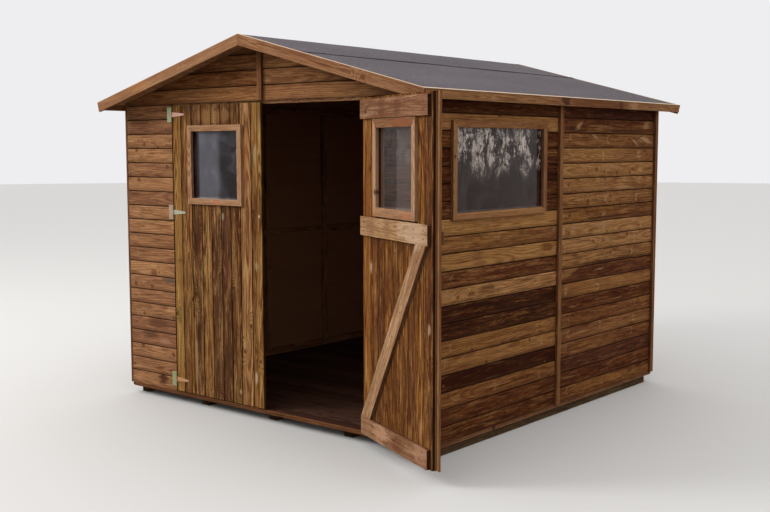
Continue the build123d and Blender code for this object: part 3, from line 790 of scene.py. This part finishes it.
def clad(name, seed, corner, along, length, tones, streaks, cuts=(), hole=None, **kind):
    """Lays boards one above the other from a corner; hole is (start, end, foot, top)."""
    piece = Joinery(name + "_boards", seed)
    for index, tone in enumerate(tones):
        foot = corner[2] + index * cover
        place = placed((corner[0], corner[1], foot), along, (0, 0, 1))
        tone = tone + piece.draw.uniform(-0.05, 0.05)
        streak = streaks[index] if isinstance(streaks, tuple) else streaks
        streak = streak * piece.draw.uniform(0.5, 1.4)
        own_seed = piece.draw.random()
        stretches = [(0.0, length, 0.0, cover)]
        if hole and hole[2] < foot + cover and hole[3] > foot:
            stretches = [(0.0, hole[0], 0.0, cover), (hole[1], length, 0.0, cover)]
            if hole[2] > foot:
                stretches.append((hole[0], hole[1], 0.0, hole[2] - foot))
            if hole[3] < foot + cover:
                stretches.append((hole[0], hole[1], hole[3] - foot, cover))
        for start, end, low, high in stretches:
            plank = milled(shiplap, length)
            for needed, point, outward in (
                (start > 0.0, (start, 0, 0), (-1, 0, 0)),
                (end < length, (end, 0, 0), (1, 0, 0)),
                (low > 0.0, (0, low, 0), (0, -1, 0)),
                (high < cover, (0, high, 0), (0, 1, 0)),
            ):
                if needed:
                    sawn(plank, point, outward)
            for point, outward in cuts:
                sawn_in_place(plank, place, point, outward)
            if len(plank.faces) > 3:
                piece.take(plank, place, tone, streak, own_seed, **kind)
    node = name if "gable" in name else name + "_panel"
    piece.done("shed", cladding_wood, node)


slope_right = ((0, 0, under_ridge), (roof_rise, 0, 1))
slope_left = ((0, 0, under_ridge), (-roof_rise, 0, 1))
front_corner = (-half_width, -back_of_front, wall_foot)
rosy = (0.30, 0.38, 0.24, 0.42, 0.54, 0.22, 0.42, 0.42, 0.14, 0.46)
rosy += (0.40, 0.20, 0.20, 0.46, 0.28, 0.40, 0.14, 0.16, 0.44, 0.46)
clad(
    "front_left", 11, front_corner, to_right, beside_doorway, rosy, 0.3,
    warmth=0.9, knotty=0.3,
)
doorway_corner = (doorway_side, -back_of_front, wall_foot)
behind_leaf = [0.35 + 0.25 * (index % 3 == 1) for index in range(20)]
clad("front_right", 12, doorway_corner, to_right, beside_doorway, behind_leaf, 0.4)

near_corner = (back_of_side, -back_of_front, wall_foot)
# The last two tones, under the eave, are near black: painted shade.
banded = (0.70, 0.64, 0.54, 1.0, 0.38, 0.42, 0.80, 0.88, -0.08, 0.48)
banded += (0.16, 0.38, 0.12, 0.62, 0.84, 0.84, 0.80, 0.78, 0.3, 0.88, 1.0)
banded_streaks = (0.6, 0.6, 0.4, 0.7, 0.3, 0.4, 0.8, 0.8, 0.4, 0.6)
banded_streaks += (0.25, 0.5, 0.15, 0.7, 0.7, 0.7, 0.7, 0.7, 0.3, 0.7, 0.7)
clad(
    "right_front", 13, near_corner, to_back, front_half, banded, banded_streaks, [slope_right],
    hole=window_hole, warmth=0.25, knotty=0.5,
)
joint_corner = (back_of_side, panel_joint, wall_foot)
# The last two tones, under the eave, are near black: painted shade.
golden = (0.62, 0.66, 0.78, 0.58, 0.56, 0.60, 0.74, 0.40, 0.76, 0.28)
golden += (0.06, 0.0, 0.52, 0.36, 0.32, 0.12, 0.30, 0.46, 0.64, 0.84, 1.0)
clad(
    "right_rear", 14, joint_corner, to_back, rear_half, golden, 0.35, [slope_right],
    warmth=0.3, knotty=1.0,
)


def mixed_boards(seed, count, middle=0.45, spread=0.25):
    """Tones for a wall that the photograph doesn't show, dealt as on the ones it does."""
    deal = random.Random(seed)
    return [middle + deal.uniform(-spread, spread) for _ in range(count)]


for name, start, length, seed in (
    ("left_rear", back_of_front, rear_half, 21),
    ("left_front", panel_joint, front_half, 22),
):
    corner, tones = (-back_of_side, start, wall_foot), mixed_boards(seed, 21)
    clad(name, seed, corner, to_front, length, tones, 0.55, [slope_left], knotty=0.7)

for name, start, seed in (("back_right", half_width, 23), ("back_left", 0.0, 24)):
    corner, tones = (start, back_of_front, wall_foot), mixed_boards(seed, 20)
    clad(name, seed, corner, to_left, half_width, tones, 0.55, knotty=0.7)

for name, facing, seed in (("front_gable", 1, 31), ("back_gable", -1, 33)):
    for half, middle in (("left", 0.46), ("right", 0.3)):
        start = {("left", 1): -half_width, ("right", -1): half_width}.get((half, facing), 0.0)
        corner = (start, -facing * back_of_front, gable_foot)
        tones = mixed_boards(seed + 7, 4, middle, 0.08)
        own_seed, cuts = seed + (half == "right"), [slope_left, slope_right]
        clad(f"{name}_{half}", own_seed, corner, (facing, 0, 0), half_width, tones, 0.4, cuts)

# %% [markdown]
# A door leaf is nine upright tongued boards. Each has small bevels at its
# joints, so a joint shows as a fine V with one lit side and one dark side. Both
# leaves are set out from their own pins: the left one shut, the right one
# standing open.

# %% Door leaves
pin_x = 794.0
pin_stand = 5.0
leaf_foot, leaf_top = 76.0, 1860.0
window_reach, window_height = 396.0, 1498.5
half_hole = 204.0
swing = {"left": 0.0, "right": math.radians(155.0)}


class LeafPlace:
    """Directions of a leaf: along it from its pin, outwards, and its pin's place."""

    def __init__(self, hand):
        side = -1.0 if hand == "left" else 1.0
        turn = swing[hand]
        self.along = Vector((-side * math.cos(turn), -math.sin(turn), 0.0))
        self.outward = Vector((side * math.sin(turn), -math.cos(turn), 0.0))
        self.pin = Vector((side * pin_x, -half_depth - pin_stand, 0.0))

    def point(self, reach, depth, height):
        """A point by its reach from the pin, depth behind the outer face, and height."""
        spot = self.pin + self.along * reach - self.outward * (depth + pin_stand)
        return Vector((spot.x, spot.y, height))


leaves = {"left": LeafPlace("left"), "right": LeafPlace("right")}


def upright_board(width):
    """Outline of one door board: bevelled joints, and a small groove in its face."""
    outline = [(1.4, 0.0), (width - 1.4, 0.0), (width - 0.3, 1.4), (width - 0.3, 8.0)]
    outline += [(width - 1.9, 8.0), (width - 1.9, 13.2), (width - 4.4, board_depth)]
    outline += [(14.2, board_depth), (12.8, 13.8), (11.4, board_depth)]
    outline += [(4.4, board_depth), (1.9, 13.2), (1.9, 8.0), (0.3, 8.0), (0.3, 1.4)]
    return outline


def leaf_boards(hand, joints, tones, streaks, warmths, seed):
    """The boards of one leaf, with the window's hole sawn through them."""
    leaf = leaves[hand]
    piece = Joinery(hand + "_door_planks", seed)
    hole_low, hole_high = window_reach - half_hole, window_reach + half_hole
    foot, top = window_height - half_hole, window_height + half_hole
    grain = leaf.along.cross(leaf.outward)
    for start, end, tone, streak, warmth in zip(joints, joints[1:], tones, streaks, warmths):
        own_seed = piece.draw.random()
        origin = leaf.point(start, board_depth, leaf_foot if grain.z > 0 else leaf_top)
        place = placed(origin, grain, leaf.along)
        below, above = ((0, 0, foot), (0, 0, 1)), ((0, 0, top), (0, 0, -1))
        parts = [[]]
        if end > hole_low and start < hole_high:
            beside = [((0, 0, foot), (0, 0, -1)), ((0, 0, top), (0, 0, 1))]
            parts = [[below], [above]]
            if start < hole_low:
                parts.append(beside + [(leaf.point(hole_low, 0.0, 0.0), leaf.along)])
            if end > hole_high:
                parts.append(beside + [(leaf.point(hole_high, 0.0, 0.0), -leaf.along)])
        for cuts in parts:
            plank = milled(upright_board(end - start), leaf_top - leaf_foot)
            for point, outward in cuts:
                sawn_in_place(plank, place, point, outward)
            piece.take(plank, place, tone, streak, own_seed, warmth, ruddy=float(hand == "right"))
    piece.done(hand + "_door", leaf_wood, hand + "_door_boards")


leaf_boards(
    "left",
    (3.0, 80.0, 175.0, 268.0, 355.0, 440.0, 525.0, 607.0, 702.0, 789.0),
    tones=(0.20, 0.32, 0.34, 0.20, 0.32, 0.46, 0.28, 0.24, 0.24),
    streaks=(0.15, 0.50, 0.85, 0.50, 0.80, 0.85, 0.75, 0.2, 0.35),
    warmths=(0.1, 0.3, 0.4, 0.3, 0.7, 0.5, 0.4, 0.6, 0.2),
    seed=41,
)
leaf_boards(
    "right",
    [3.0 + 786.0 * index / 9 for index in range(10)],
    tones=(0.20, 0.38, 0.52, 0.30, 0.44, 0.32, 0.50, 0.36, 0.42),
    streaks=(0.2, 0.7, 0.8, 0.65, 0.75, 0.65, 0.75, 0.7, 0.8),
    warmths=(0.1, 0.4, 0.5, 0.3, 0.5, 0.3, 0.5, 0.4, 0.5),
    seed=42,
)

# %% [markdown]
# Plain squared timbers are already right in the CAD, so their shapes are copied
# from it. Each copy is taken apart into single sticks. A stick's longest edge
# gives the way of its grain, its widest face gives its flat side, and its
# arrises are eased before it goes back to the same place.

# %% Timbers copied from the frame
def islands(mesh):
    """Sets of the numbers of faces that hang together, in the order of the faces."""
    left = set(mesh.faces)
    groups = []
    while left:
        group, queue = set(), [left.pop()]
        while queue:
            face = queue.pop()
            group.add(face.index)
            fresh = {other for edge in face.edges for other in edge.link_faces} & left
            left -= fresh
            queue.extend(fresh)
        groups.append(group)
    return sorted(groups, key=min)


def single_stick(whole, group):
    """A copy of one stick, with the way of its grain and the way its flat side looks."""
    stick = whole.copy()
    others = [face for face in stick.faces if face.index not in group]
    if others:
        bmesh.ops.delete(stick, geom=others, context="FACES")
    longest = max(stick.edges, key=lambda edge: edge.calc_length())
    along = (longest.verts[1].co - longest.verts[0].co).normalized()
    if along.x + along.y + along.z < 0:
        along = -along
    long_faces = [face for face in stick.faces if abs(face.normal.dot(along)) < 0.1]
    flat = max(long_faces, key=lambda face: face.calc_area()).normal
    return stick, along, flat


def copied_timbers(name, node, body, slot, tone, streaks, seed, ease=1.2):
    """Sticks with the shape of a CAD node, each with its own grain.

    A dictionary of tones gives one to each height, rounded to 100 mm.
    """
    piece = Joinery(name, seed)
    whole = bmesh.new()
    whole.from_mesh(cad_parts[node].data)
    bmesh.ops.remove_doubles(whole, verts=whole.verts, dist=1e-5)
    bmesh.ops.dissolve_limit(
        whole, angle_limit=math.radians(1), verts=whole.verts, edges=whole.edges
    )
    whole.faces.index_update()
    for group in islands(whole):
        stick, along, flat = single_stick(whole, group)
        centre = sum((v.co for v in stick.verts), Vector()) / len(stick.verts)
        place = placed(centre / MM, along, flat.cross(along))
        stick.transform(place.inverted())
        if ease:
            eased(stick, ease)
        if isinstance(tone, dict):
            own_tone = tone[int(round(centre.z / MM, -2))]
        else:
            own_tone = tone + piece.draw.uniform(-0.12, 0.12)
        piece.take(stick, place, own_tone, streaks * piece.draw.uniform(0.5, 1.5))
    whole.free()
    piece.done(body, timber_woods[slot], node)


timber_woods = {
    "bearer_wood": bearer_wood,
    "trim_wood": trim_wood,
    "framing_wood": framing_wood,
    "barge_wood": roof_edge_wood,
    "ledge_wood": ledge_wood,
}
ledge_tones = {100: 0.46, 700: 0.27, 1200: 0.32, 1800: 0.60}
for row in (
    ("bearers", "floor_bearers", "shed", "bearer_wood", 0.4, 0.6, 51),
    ("edging_strips", "floor_edging", "shed", "trim_wood", 0.5, 0.5, 52),
    ("rails", "wall_rails", "shed", "framing_wood", 0.5, 0.4, 53),
    ("studs", "wall_studs", "shed", "framing_wood", 0.5, 0.4, 54),
    ("posts", "door_posts", "shed", "framing_wood", 0.3, 0.3, 55),
    ("head_rail", "door_head_rail", "shed", "framing_wood", 0.2, 0.3, 56),
    ("ridge_timber", "ridge_beam", "shed", "framing_wood", 0.5, 0.3, 57),
    ("purlin_timbers", "purlins", "shed", "framing_wood", 0.5, 0.3, 58),
    ("corner_strips", "corner_trims", "shed", "trim_wood", 0.62, 0.5, 59),
    ("joint_strips", "cover_battens", "shed", "trim_wood", 0.55, 0.5, 60),
    ("barge_timbers", "bargeboards", "shed", "barge_wood", 0.42, 0.3, 67, 3.4),
    ("fascia_timbers", "eave_fascias", "shed", "barge_wood", 0.5, 0.3, 62, 3.4),
    ("left_ledges", "left_door_ledges", "left_door", "ledge_wood", 0.4, 0.4, 63),
    ("right_ledges", "right_door_ledges", "right_door", "ledge_wood", ledge_tones, 0.5, 64),
    ("meeting_strip", "door_cover_strip", "right_door", "trim_wood", 0.22, 0.4, 65),
    ("button_block", "turn_button", "right_door", "trim_wood", 0.7, 0.3, 66, 0.0),
):
    copied_timbers(*row)

# %% [markdown]
# A window frame is four flat bars with mitred corners. The bars are milled, and
# a plane through each corner cuts the mitre, so the light's edges stay sharp and
# every joint shows. The side window's bottom bar has a bevel that sheds water.

# %% Window frames
bar_depth = 18.0
bar_edge = 1.6
saw_gap = 0.15


def mitred_frame(piece, centre, outward, size, light, tones, sill=bar_edge):
    """Four bars round a light, standing outwards from a point in the shed's frame."""
    up = Vector((0.0, 0.0, 1.0))
    along, across = up.cross(Vector(outward)), up
    corner = Vector(centre) - (along * size[0] + across * size[1]) / 2
    upright, level_bar = (size[0] - light[0]) / 2, (size[1] - light[1]) / 2
    for index, tone in enumerate(tones):
        level = index % 2 == 0
        length = size[0] if level else size[1]
        broad, next_broad = (level_bar, upright) if level else (upright, level_bar)
        soft = sill if index == 0 else bar_edge
        outline = [(0.0, 0.0), (broad, 0.0), (broad, bar_depth - soft)]
        outline += [(broad - soft, bar_depth), (bar_edge, bar_depth)]
        outline += [(0.4, bar_depth - 0.5), (0.0, bar_depth - bar_edge)]
        bar = milled(outline, length)
        sawn(bar, (saw_gap, 0, 0), (-broad, next_broad, 0))
        sawn(bar, (length - saw_gap, 0, 0), (broad, next_broad, 0))
        piece.take(bar, placed(corner, along, across), tone, 0.3)
        corner = corner + along * length
        along, across = across, -along


side_frame = Joinery("side_window_bars", 71)
side_size, side_light = (912.0, 513.0), (840.0, 441.0)
side_middle, side_height = -644.0, 1483.87
for x, outward, tones, sill in (
    (half_width, to_right, (0.3, 0.42, 0.4, 0.25), 9.0),
    (back_of_side, to_left, (0.6, 0.6, 0.6, 0.6), bar_edge),
):
    centre = (x, side_middle, side_height)
    mitred_frame(side_frame, centre, outward, side_size, side_light, tones, sill)
side_frame.done("shed", trim_wood, "side_window_frame")

frame_width, leaf_light = 476.0, (404.0, 404.0)
for (hand, leaf), seed in zip(leaves.items(), (72, 73)):
    bars = Joinery(hand + "_window_bars", seed)
    for depth, outward, height, tones in (
        (0.0, leaf.outward, frame_width, (0.2, 0.15, 0.3, 0.38)),
        (board_depth, -leaf.outward, 495.0, (0.4, 0.15, 0.7, 0.0)),
    ):
        centre = leaf.point(window_reach, depth, window_height)
        mitred_frame(bars, centre, outward, (frame_width, height), leaf_light, tones)
    bars.done(hand + "_door", leaf_frame_wood, hand + "_door_window_frame")

# %% [markdown]
# The floor is boarded from side to side and the roof from front to back, both
# with tongued boards. The roof boards show under the overhang.

# %% Floor and roof boards
ridge_top = 2232.13
eave_reach = 1291.0
roof_front, roof_length = -1395.0, 2836.0
floor_corner, floor_size, floor_section = (-1222, -1217, 49), (2444, 2434), (86.0, 19.0, 1.0)
roof_section = (96.0, board_depth, 2.0)
under_felt, past_ridge, past_eave = 3.0, 6.0, 10.0


def laid(piece, origin, along, across, length, span, section, streaks, cuts=()):
    """Lays tongued boards side by side over a span; the last one is ripped to fit.

    Section is a board's width, its thickness and the bevel at its joints.
    """
    width, thickness, bevel = section
    outline = [(0.3, 0.0), (width - 0.3, 0.0), (width - 0.3, thickness - bevel)]
    outline += [(width - 0.3 - bevel, thickness), (0.3 + bevel, thickness)]
    outline += [(0.3, thickness - bevel)]
    for index in range(math.ceil(span / width - 1e-6)):
        start = index * width
        place = placed(Vector(origin) + Vector(across) * start, along, across)
        plank = milled(outline, length)
        if start + width > span:
            sawn(plank, (0, span - start, 0), (0, 1, 0))
        for point, outward in cuts:
            sawn_in_place(plank, place, point, outward)
        tone = 0.5 + piece.draw.uniform(-0.2, 0.2)
        piece.take(plank, place, tone, streaks)


floor_boards = Joinery("floor_boards", 81)
laid(floor_boards, floor_corner, to_right, to_back, *floor_size, floor_section, 0.5)
floor_boards.done("shed", floor_wood, "floor_deck")

for hand, side, seed in (("left", -1.0, 82), ("right", 1.0, 83)):
    deck = Joinery(hand + "_roof_boards", seed)
    down = Vector((side * math.cos(pitch), 0.0, -math.sin(pitch)))
    high = Vector((side * math.sin(pitch), 0.0, math.cos(pitch)))
    grain = down.cross(-high)
    first_end = roof_front if grain.y > 0 else roof_front + roof_length
    start = Vector((0.0, first_end, ridge_top)) - high * under_felt - down * past_ridge
    span = eave_reach / math.cos(pitch) + past_ridge + past_eave
    cuts = [((0, 0, 0), (-side, 0, 0)), ((side * eave_reach, 0, 0), (side, 0, 0))]
    laid(deck, start, grain, down, roof_length, span, roof_section, 0.4, cuts)
    deck.done("shed", roof_board_wood, f"roof_deck_{hand}")

# %% [markdown]
# Roofing felt comes in rolls. A strip lies along each slope, and a third goes
# over the ridge and laps them. A real strip is never quite flat, so a fine grid
# follows the slope with faint ripples and is then given its thickness. Its face
# is bitumen with crushed stone: a coarse grain with paler specks.

# %% Roofing felt
felt = Finish("mineral_felt")
felt_spot = felt.place()
grit = felt.noise(felt_spot, (420.0, 420.0, 420.0), 2.0, 0.7)
fleck = felt.split(felt.cells(felt_spot, 260.0).beside("Color"))[0]
streaked = felt.noise(felt_spot, (9.0, 1.6, 9.0), 4.0, 0.6)
patch = felt.noise(felt_spot, (2.2, 1.1, 2.2), 3.0)
felt_colour = felt.ramp(
    grit * 0.45 + patch * 0.4 + streaked * 0.3 - 0.08,
    {0.0: (60, 52, 55), 0.5: (88, 80, 84), 1.0: (122, 112, 116)},
)
felt_colour = felt.over(felt_colour, felt.step(fleck, 0.93, 0.98) * 0.5, (176, 170, 172))
felt_colour = felt.over(felt_colour, felt.step(fleck, 0.12, 0.04) * 0.5, (50, 47, 50))
chips = felt.cells(felt_spot, 17.0)
chip = felt.step(chips, 0.085, 0.06) * (felt.split(chips.beside("Color"))[0] > 0.55)
felt_colour = felt.over(felt_colour, chip * 0.8, (206, 198, 194))
away = abs(felt.split(felt_spot)[0])
# A shadow painted on the slope strips just beyond the ridge strip's edge.
lap_edge_shadow = felt.step(away + (streaked - 0.5) * 0.012, 0.482, 0.486)
lap_edge_shadow = lap_edge_shadow * felt.step(away, 0.4975, 0.4935)
felt.set(
    Base_Color=felt.over(felt_colour, lap_edge_shadow * 0.85, (24, 22, 23)),
    Roughness=streaked * 0.15 + 0.8,
    Normal=felt.bump(grit + fleck * 0.4, 0.0012, 0.7),
    Specular_IOR_Level=0.3,
)


def ripple(x, y, seed):
    """Faint unevenness of laid felt, in millimetres."""
    broad = math.sin(x * 0.011 + seed) * math.sin(y * 0.006 + 1.3 * seed)
    fine = math.sin(x * 0.031 - y * 0.013 + seed) * 0.5
    return 0.6 * (broad + fine)


def felt_sheet(side, start, end, seed):
    """A sheet between two distances from the ridge; the ridge strip lies on the others."""
    sheet = bmesh.new()
    bmesh.ops.create_grid(sheet, x_segments=40, y_segments=90, size=0.5)
    for vert in sheet.verts:
        x = start + (end - start) * (vert.co.x + 0.5)
        y = roof_front + roof_length * (vert.co.y + 0.5)
        height = ridge_top - roof_rise * (abs(x) if abs(x) > 12 else (x * x / 24 + 6))
        if side == "ridge":
            height += 2.6 * min(1.0, max(0.0, (abs(x) - 440.0) / 20.0))
        vert.co = Vector((x, y, height + ripple(x, y, seed) - 1.2)) * MM
    bmesh.ops.recalc_face_normals(sheet, faces=sheet.faces)
    if sum(face.normal.z for face in sheet.faces) < 0:
        bmesh.ops.reverse_faces(sheet, faces=sheet.faces)
    everything = sheet.verts[:] + sheet.edges[:] + sheet.faces[:]
    bmesh.ops.solidify(sheet, geom=everything, thickness=2.2 * MM)
    name, node = f"felt_{side}_strip", f"roof_felt_{side}"
    strip = fitted(name, sheet, "shed", felt.material, node)
    for polygon in strip.data.polygons:
        polygon.use_smooth = True


lap_start, lap_end = 452.0, 486.0
felt_sheet("left", -eave_reach, -lap_start, 1.0)
felt_sheet("right", lap_start, eave_reach, 2.0)
felt_sheet("ridge", -lap_end, lap_end, 3.0)

# %% [markdown]
# The hinges keep their CAD shape, with knuckles and pins. They are stamped from
# galvanised strip, whose zinc has dulled unevenly. The screws that hold them,
# and the nails of the cladding, are small heads with few faces.

# %% Hinges and screws
def dulled_zinc(name, *shades):
    """Galvanised iron; shades are its tarnish from the bottom hinge to the top one."""
    f = Finish(name)
    spot = f.place()
    spangle = f.noise(spot, (60.0, 60.0, 60.0), 3.0, 0.6)
    tarnish = f.noise(spot, (30.0, 30.0, 30.0), 3.0, 0.6) - 0.5
    tarnish = f.split(spot)[2] * 0.5 + tarnish * 0.3
    colour = f.ramp(tarnish, dict(zip((0.25, 0.6, 0.8), shades)))
    f.set(
        Base_Color=f.over(colour, f.step(spangle, 0.56, 0.72) * 0.5, (132, 104, 80)),
        Metallic=0.3,
        Roughness=spangle * 0.3 + 0.4,
        Normal=f.bump(spangle, 0.0004, 0.5),
    )
    return f.material


def refinished(node, material):
    """Gives a CAD node another material and leaves its shape alone."""
    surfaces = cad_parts[node].data.materials
    surfaces.clear()
    surfaces.append(material)


plate_zinc = dulled_zinc("plate_zinc", (142, 150, 108), (164, 132, 110), (146, 160, 122))
strap_zinc = dulled_zinc("strap_zinc", (186, 138, 92), (164, 166, 142), (200, 156, 138))
refinished("hinge_plates", plate_zinc)
refinished("left_door_hinges", strap_zinc)
refinished("right_door_hinges", strap_zinc)

steel = Finish("dark_steel")
steel_spot = steel.noise(steel.place(), (300.0, 300.0, 300.0), 2.0)
steel.set(
    Base_Color=steel.ramp(steel_spot, {0.3: (34, 25, 20), 0.7: (62, 48, 38)}),
    Metallic=0.3,
    Roughness=steel_spot * 0.3 + 0.45,
    Normal=steel.bump(steel_spot, 0.0002, 0.4),
)


def head(fixings, point, outward, radius, height, recess=False):
    """A round head on a surface; recess sinks a drive into a screw's head."""
    aimed = Vector(outward).to_track_quat("Z", "Y").to_matrix().to_4x4()
    place = Matrix.Translation(Vector(point) * MM) @ aimed @ Matrix.Scale(MM, 4)
    made = bmesh.ops.create_cone(
        fixings,
        cap_ends=True,
        segments=10,
        radius1=radius,
        radius2=radius * 0.82,
        depth=height,
        matrix=place @ Matrix.Translation((0, 0, height / 2 - 0.05)),
    )
    if recess:
        faces = {face for vert in made["verts"] for face in vert.link_faces}
        top = max(faces, key=lambda face: face.normal.dot(Vector(outward)))
        bmesh.ops.inset_region(
            fixings, faces=[top], thickness=radius * 0.34 * MM, depth=-0.45 * height * MM
        )


hinge_levels = (149.0, 1204.0, 1805.0)
hole_line, plate_face = 811.0, -1237.5
plate_screws = bmesh.new()
for side in (-1, 1):
    for height in hinge_levels:
        for rise in (-32.0, -11.0, 11.0, 32.0):
            reach = hole_line + 10.0 * (abs(rise) > 20)
            spot = (side * reach, plate_face, height + rise)
            head(plate_screws, spot, to_front, 4.0, 1.3, recess=True)
fitted("hinge_plate_screws", plate_screws, "shed", plate_zinc)
for hand, leaf in leaves.items():
    screws = bmesh.new()
    for height in hinge_levels:
        for reach in (24.0, 56.0, 92.0):
            head(screws, leaf.point(reach, -2.5, height), leaf.outward, 4.0, 1.3, recess=True)
    fitted(hand + "_strap_screws", screws, hand + "_door", strap_zinc)

# %% [markdown]
# Every board is nailed to the studs behind it and every ledge is screwed to its
# boards. In the photograph they are rows of dark dots, a little off line, which
# say where the framing stands. The felt is held by broad clout nails.

# %% Nails and clouts
scatter = random.Random(91)
nail_rise = 34.0


def nail_wall(name, start, along, places, outward, gable=False):
    """One nail through each board at every stud, a little out of line."""
    nails = bmesh.new()
    foot, courses = (gable_foot, 4) if gable else (wall_foot, 20)
    for place in places:
        for course in range(courses):
            shift = scatter.uniform(-4.0, 4.0)
            height = foot + course * cover + nail_rise + scatter.uniform(-7.0, 7.0)
            spot = Vector(start) + Vector(along) * (place + shift)
            if gable and height > under_ridge - roof_rise * abs(spot.x) - 12.0:
                continue
            head(nails, (spot.x, spot.y, height), outward, 3.2, 0.5)
    fitted(name + "_nails", nails, "shed", steel.material)


front_start, back_start = (-half_width, -half_depth, 0), (-half_width, half_depth, 0)
right_start, doorway_start = (half_width, -half_depth, 0), (doorway_side, -half_depth, 0)
side_bays = (1160.0, 1240.0, 1820.0, 2390.0)
back_bays = (26.0, 630.0, 1210.0, 1270.0, 1850.0, 2454.0)
gable_bays = (500.0, 900.0, 1205.0, 1275.0, 1580.0, 1980.0)
nail_wall("front_left", front_start, to_right, (20.0, 420.0), to_front)
nail_wall("front_right", doorway_start, to_right, (22.0, 423.0), to_front)
nail_wall("left_wall", front_start, to_back, (50.0, 650.0, *side_bays), to_left)
nail_wall("right_wall", right_start, to_back, (50.0, *side_bays), to_right)
nail_wall("back_wall", back_start, to_right, back_bays, to_back)
nail_wall("front_gable", front_start, to_right, gable_bays, to_front, gable=True)
nail_wall("back_gable", back_start, to_right, gable_bays, to_back, gable=True)

ledge_face, ledge_feet = 33.0, (leaf_foot, 1145.0, 1751.0)
brace_foot, brace_run, brace_climb = (62.0, 190.0), 640.0, 940.0
for hand, leaf in leaves.items():
    screws = bmesh.new()
    for foot in ledge_feet:
        for index in range(8):
            reach = 40.0 + index * 97.0 + scatter.uniform(-6.0, 6.0)
            for rise in (26.0, 70.0):
                height = foot + rise + scatter.uniform(-5.0, 5.0)
                head(screws, leaf.point(reach, ledge_face, height), -leaf.outward, 4.6, 0.5)
    for index in range(7):
        share = (index + 0.5) / 7
        reach, height = brace_foot[0] + share * brace_run, brace_foot[1] + share * brace_climb
        head(screws, leaf.point(reach, ledge_face, height), -leaf.outward, 4.6, 0.5)
    fitted(hand + "_ledge_screws", screws, hand + "_door", steel.material)

clouts = bmesh.new()
first_clout, clout_gap = -1380.0, 156.0
clout_rows = ((474.0, 2.9), (1280.0, 0.4))
for side in (-1.0, 1.0):
    tilt = Vector((side * math.sin(pitch), 0.0, math.cos(pitch)))
    for index in range(19):
        for x, rise in clout_rows:
            height = ridge_top - roof_rise * x + rise
            head(clouts, (side * x, first_clout + index * clout_gap, height), tilt, 5.0, 1.0)
fitted("felt_clouts", clouts, "shed", steel.material)

# %% [markdown]
# The panes are thin clear plastic: they mirror the pale sky a little, and years
# of dust and rain leave a grey film. Pale forked shapes high on a pane are a
# painted reflection of the sky and bare branches, and a plain band on each
# leaf's pane is a painted reflection as well. The film and these painted
# reflections are what the alpha channel carries, so a clean patch is nearly clear.

# %% Window panes
def pane(name, node, alpha, twiggy, veil, foot, shades):
    """Finish for one pane; twiggy is how strong its painted reflection of branches is.

    A plain band of painted reflection lies between the two places of veil, and a thin
    line of dust lies at the foot. Shades run from clean to thick dust and to the
    brightest painted reflection.
    """
    f = Finish(name)
    spot = f.place()
    x, y, height = f.split(spot)
    bend = f.noise(spot, (7.0, 7.0, 5.0), 3.0, 0.6) - 0.5
    bent = f.join(x + bend * 0.14, y + bend * 0.14, height + bend * 0.06)
    hanging = f.noise(bent, (22.0, 22.0, 4.0), 5.0, 0.7, 0.8)
    twigs = f.noise(bent, (80.0, 80.0, 14.0), 4.0, 0.7, 0.4)
    limbs = abs(f.noise(bent, (10.0, 10.0, 5.0), 3.0, 0.6, 1.2) - 0.5)
    forks = abs(f.noise(bent, (34.0, 34.0, 11.0), 3.0, 0.6, 0.8) - 0.5)
    clear = f.step(limbs, 0.004, 0.022) * f.step(forks, 0.0, 0.03)
    film = f.noise(spot, (4.0, 4.0, 4.0), 4.0, 0.6, 1.2)
    mist = f.noise(spot, (16.0, 16.0, 9.0), 4.0, 0.65, 0.8)
    glow = f.noise(spot, (9.0, 9.0, 7.0), 4.0, 0.7, 0.6)
    # A painted reflection of the sky and bare branches in the pane's upper part.
    upper = f.step(height + (glow - 0.5) * 0.4, 1.44, 1.56)
    branch_shapes = hanging + (twigs - 0.5) * 0.4 + (glow - 0.5) * 1.1
    reflected_branches = f.step(branch_shapes, 0.42, 0.54) * clear * upper * twiggy
    haze = f.step(film, 0.44, 0.6) * 0.25 + f.step(mist, 0.5, 0.7) * 0.2
    # A plain band of painted reflection between the two places of veil.
    start, end = veil
    plain = f.step(x, end + 0.03, end - 0.03) * f.step(x, start - 0.008, start + 0.012)
    dust = f.step(height, foot + 0.012, foot + 0.004)
    cover = reflected_branches * 0.85 + haze * 0.4 + plain * 0.29 + dust * 0.3
    f.set(
        Base_Color=f.ramp(cover, shades),
        Alpha=cover * 0.5 + alpha,
        Roughness=cover * 0.25 + 0.06,
        Normal=f.bump(film, 0.004, 0.15),
        IOR=1.4,
    )
    refinished(node, f.material)
    print(name, len(f.tree.nodes), "nodes")


# Shades from clean through dust to the palest painted reflection.
dust_and_reflection = {0.0: (44, 24, 18), 0.4: (98, 84, 78), 0.7: (152, 138, 128), 1.0: (216, 202, 190)}
mist_and_reflection = {0.0: (30, 24, 28), 0.4: (108, 106, 114), 1.0: (190, 188, 192)}
no_veil, left_veil, right_veil = (9.0, -9.0), (-0.556, -0.375), (1.14, 1.4)
side_foot, leaf_pane_foot = 1.2634, 1.2965
pane("side_pane", "side_window_glass", 0.5, 1.0, no_veil, side_foot, dust_and_reflection)
pane("left_pane", "left_door_glass", 0.5, 0.0, left_veil, leaf_pane_foot, mist_and_reflection)
pane("right_pane", "right_door_glass", 0.22, 0.15, right_veil, leaf_pane_foot, dust_and_reflection)
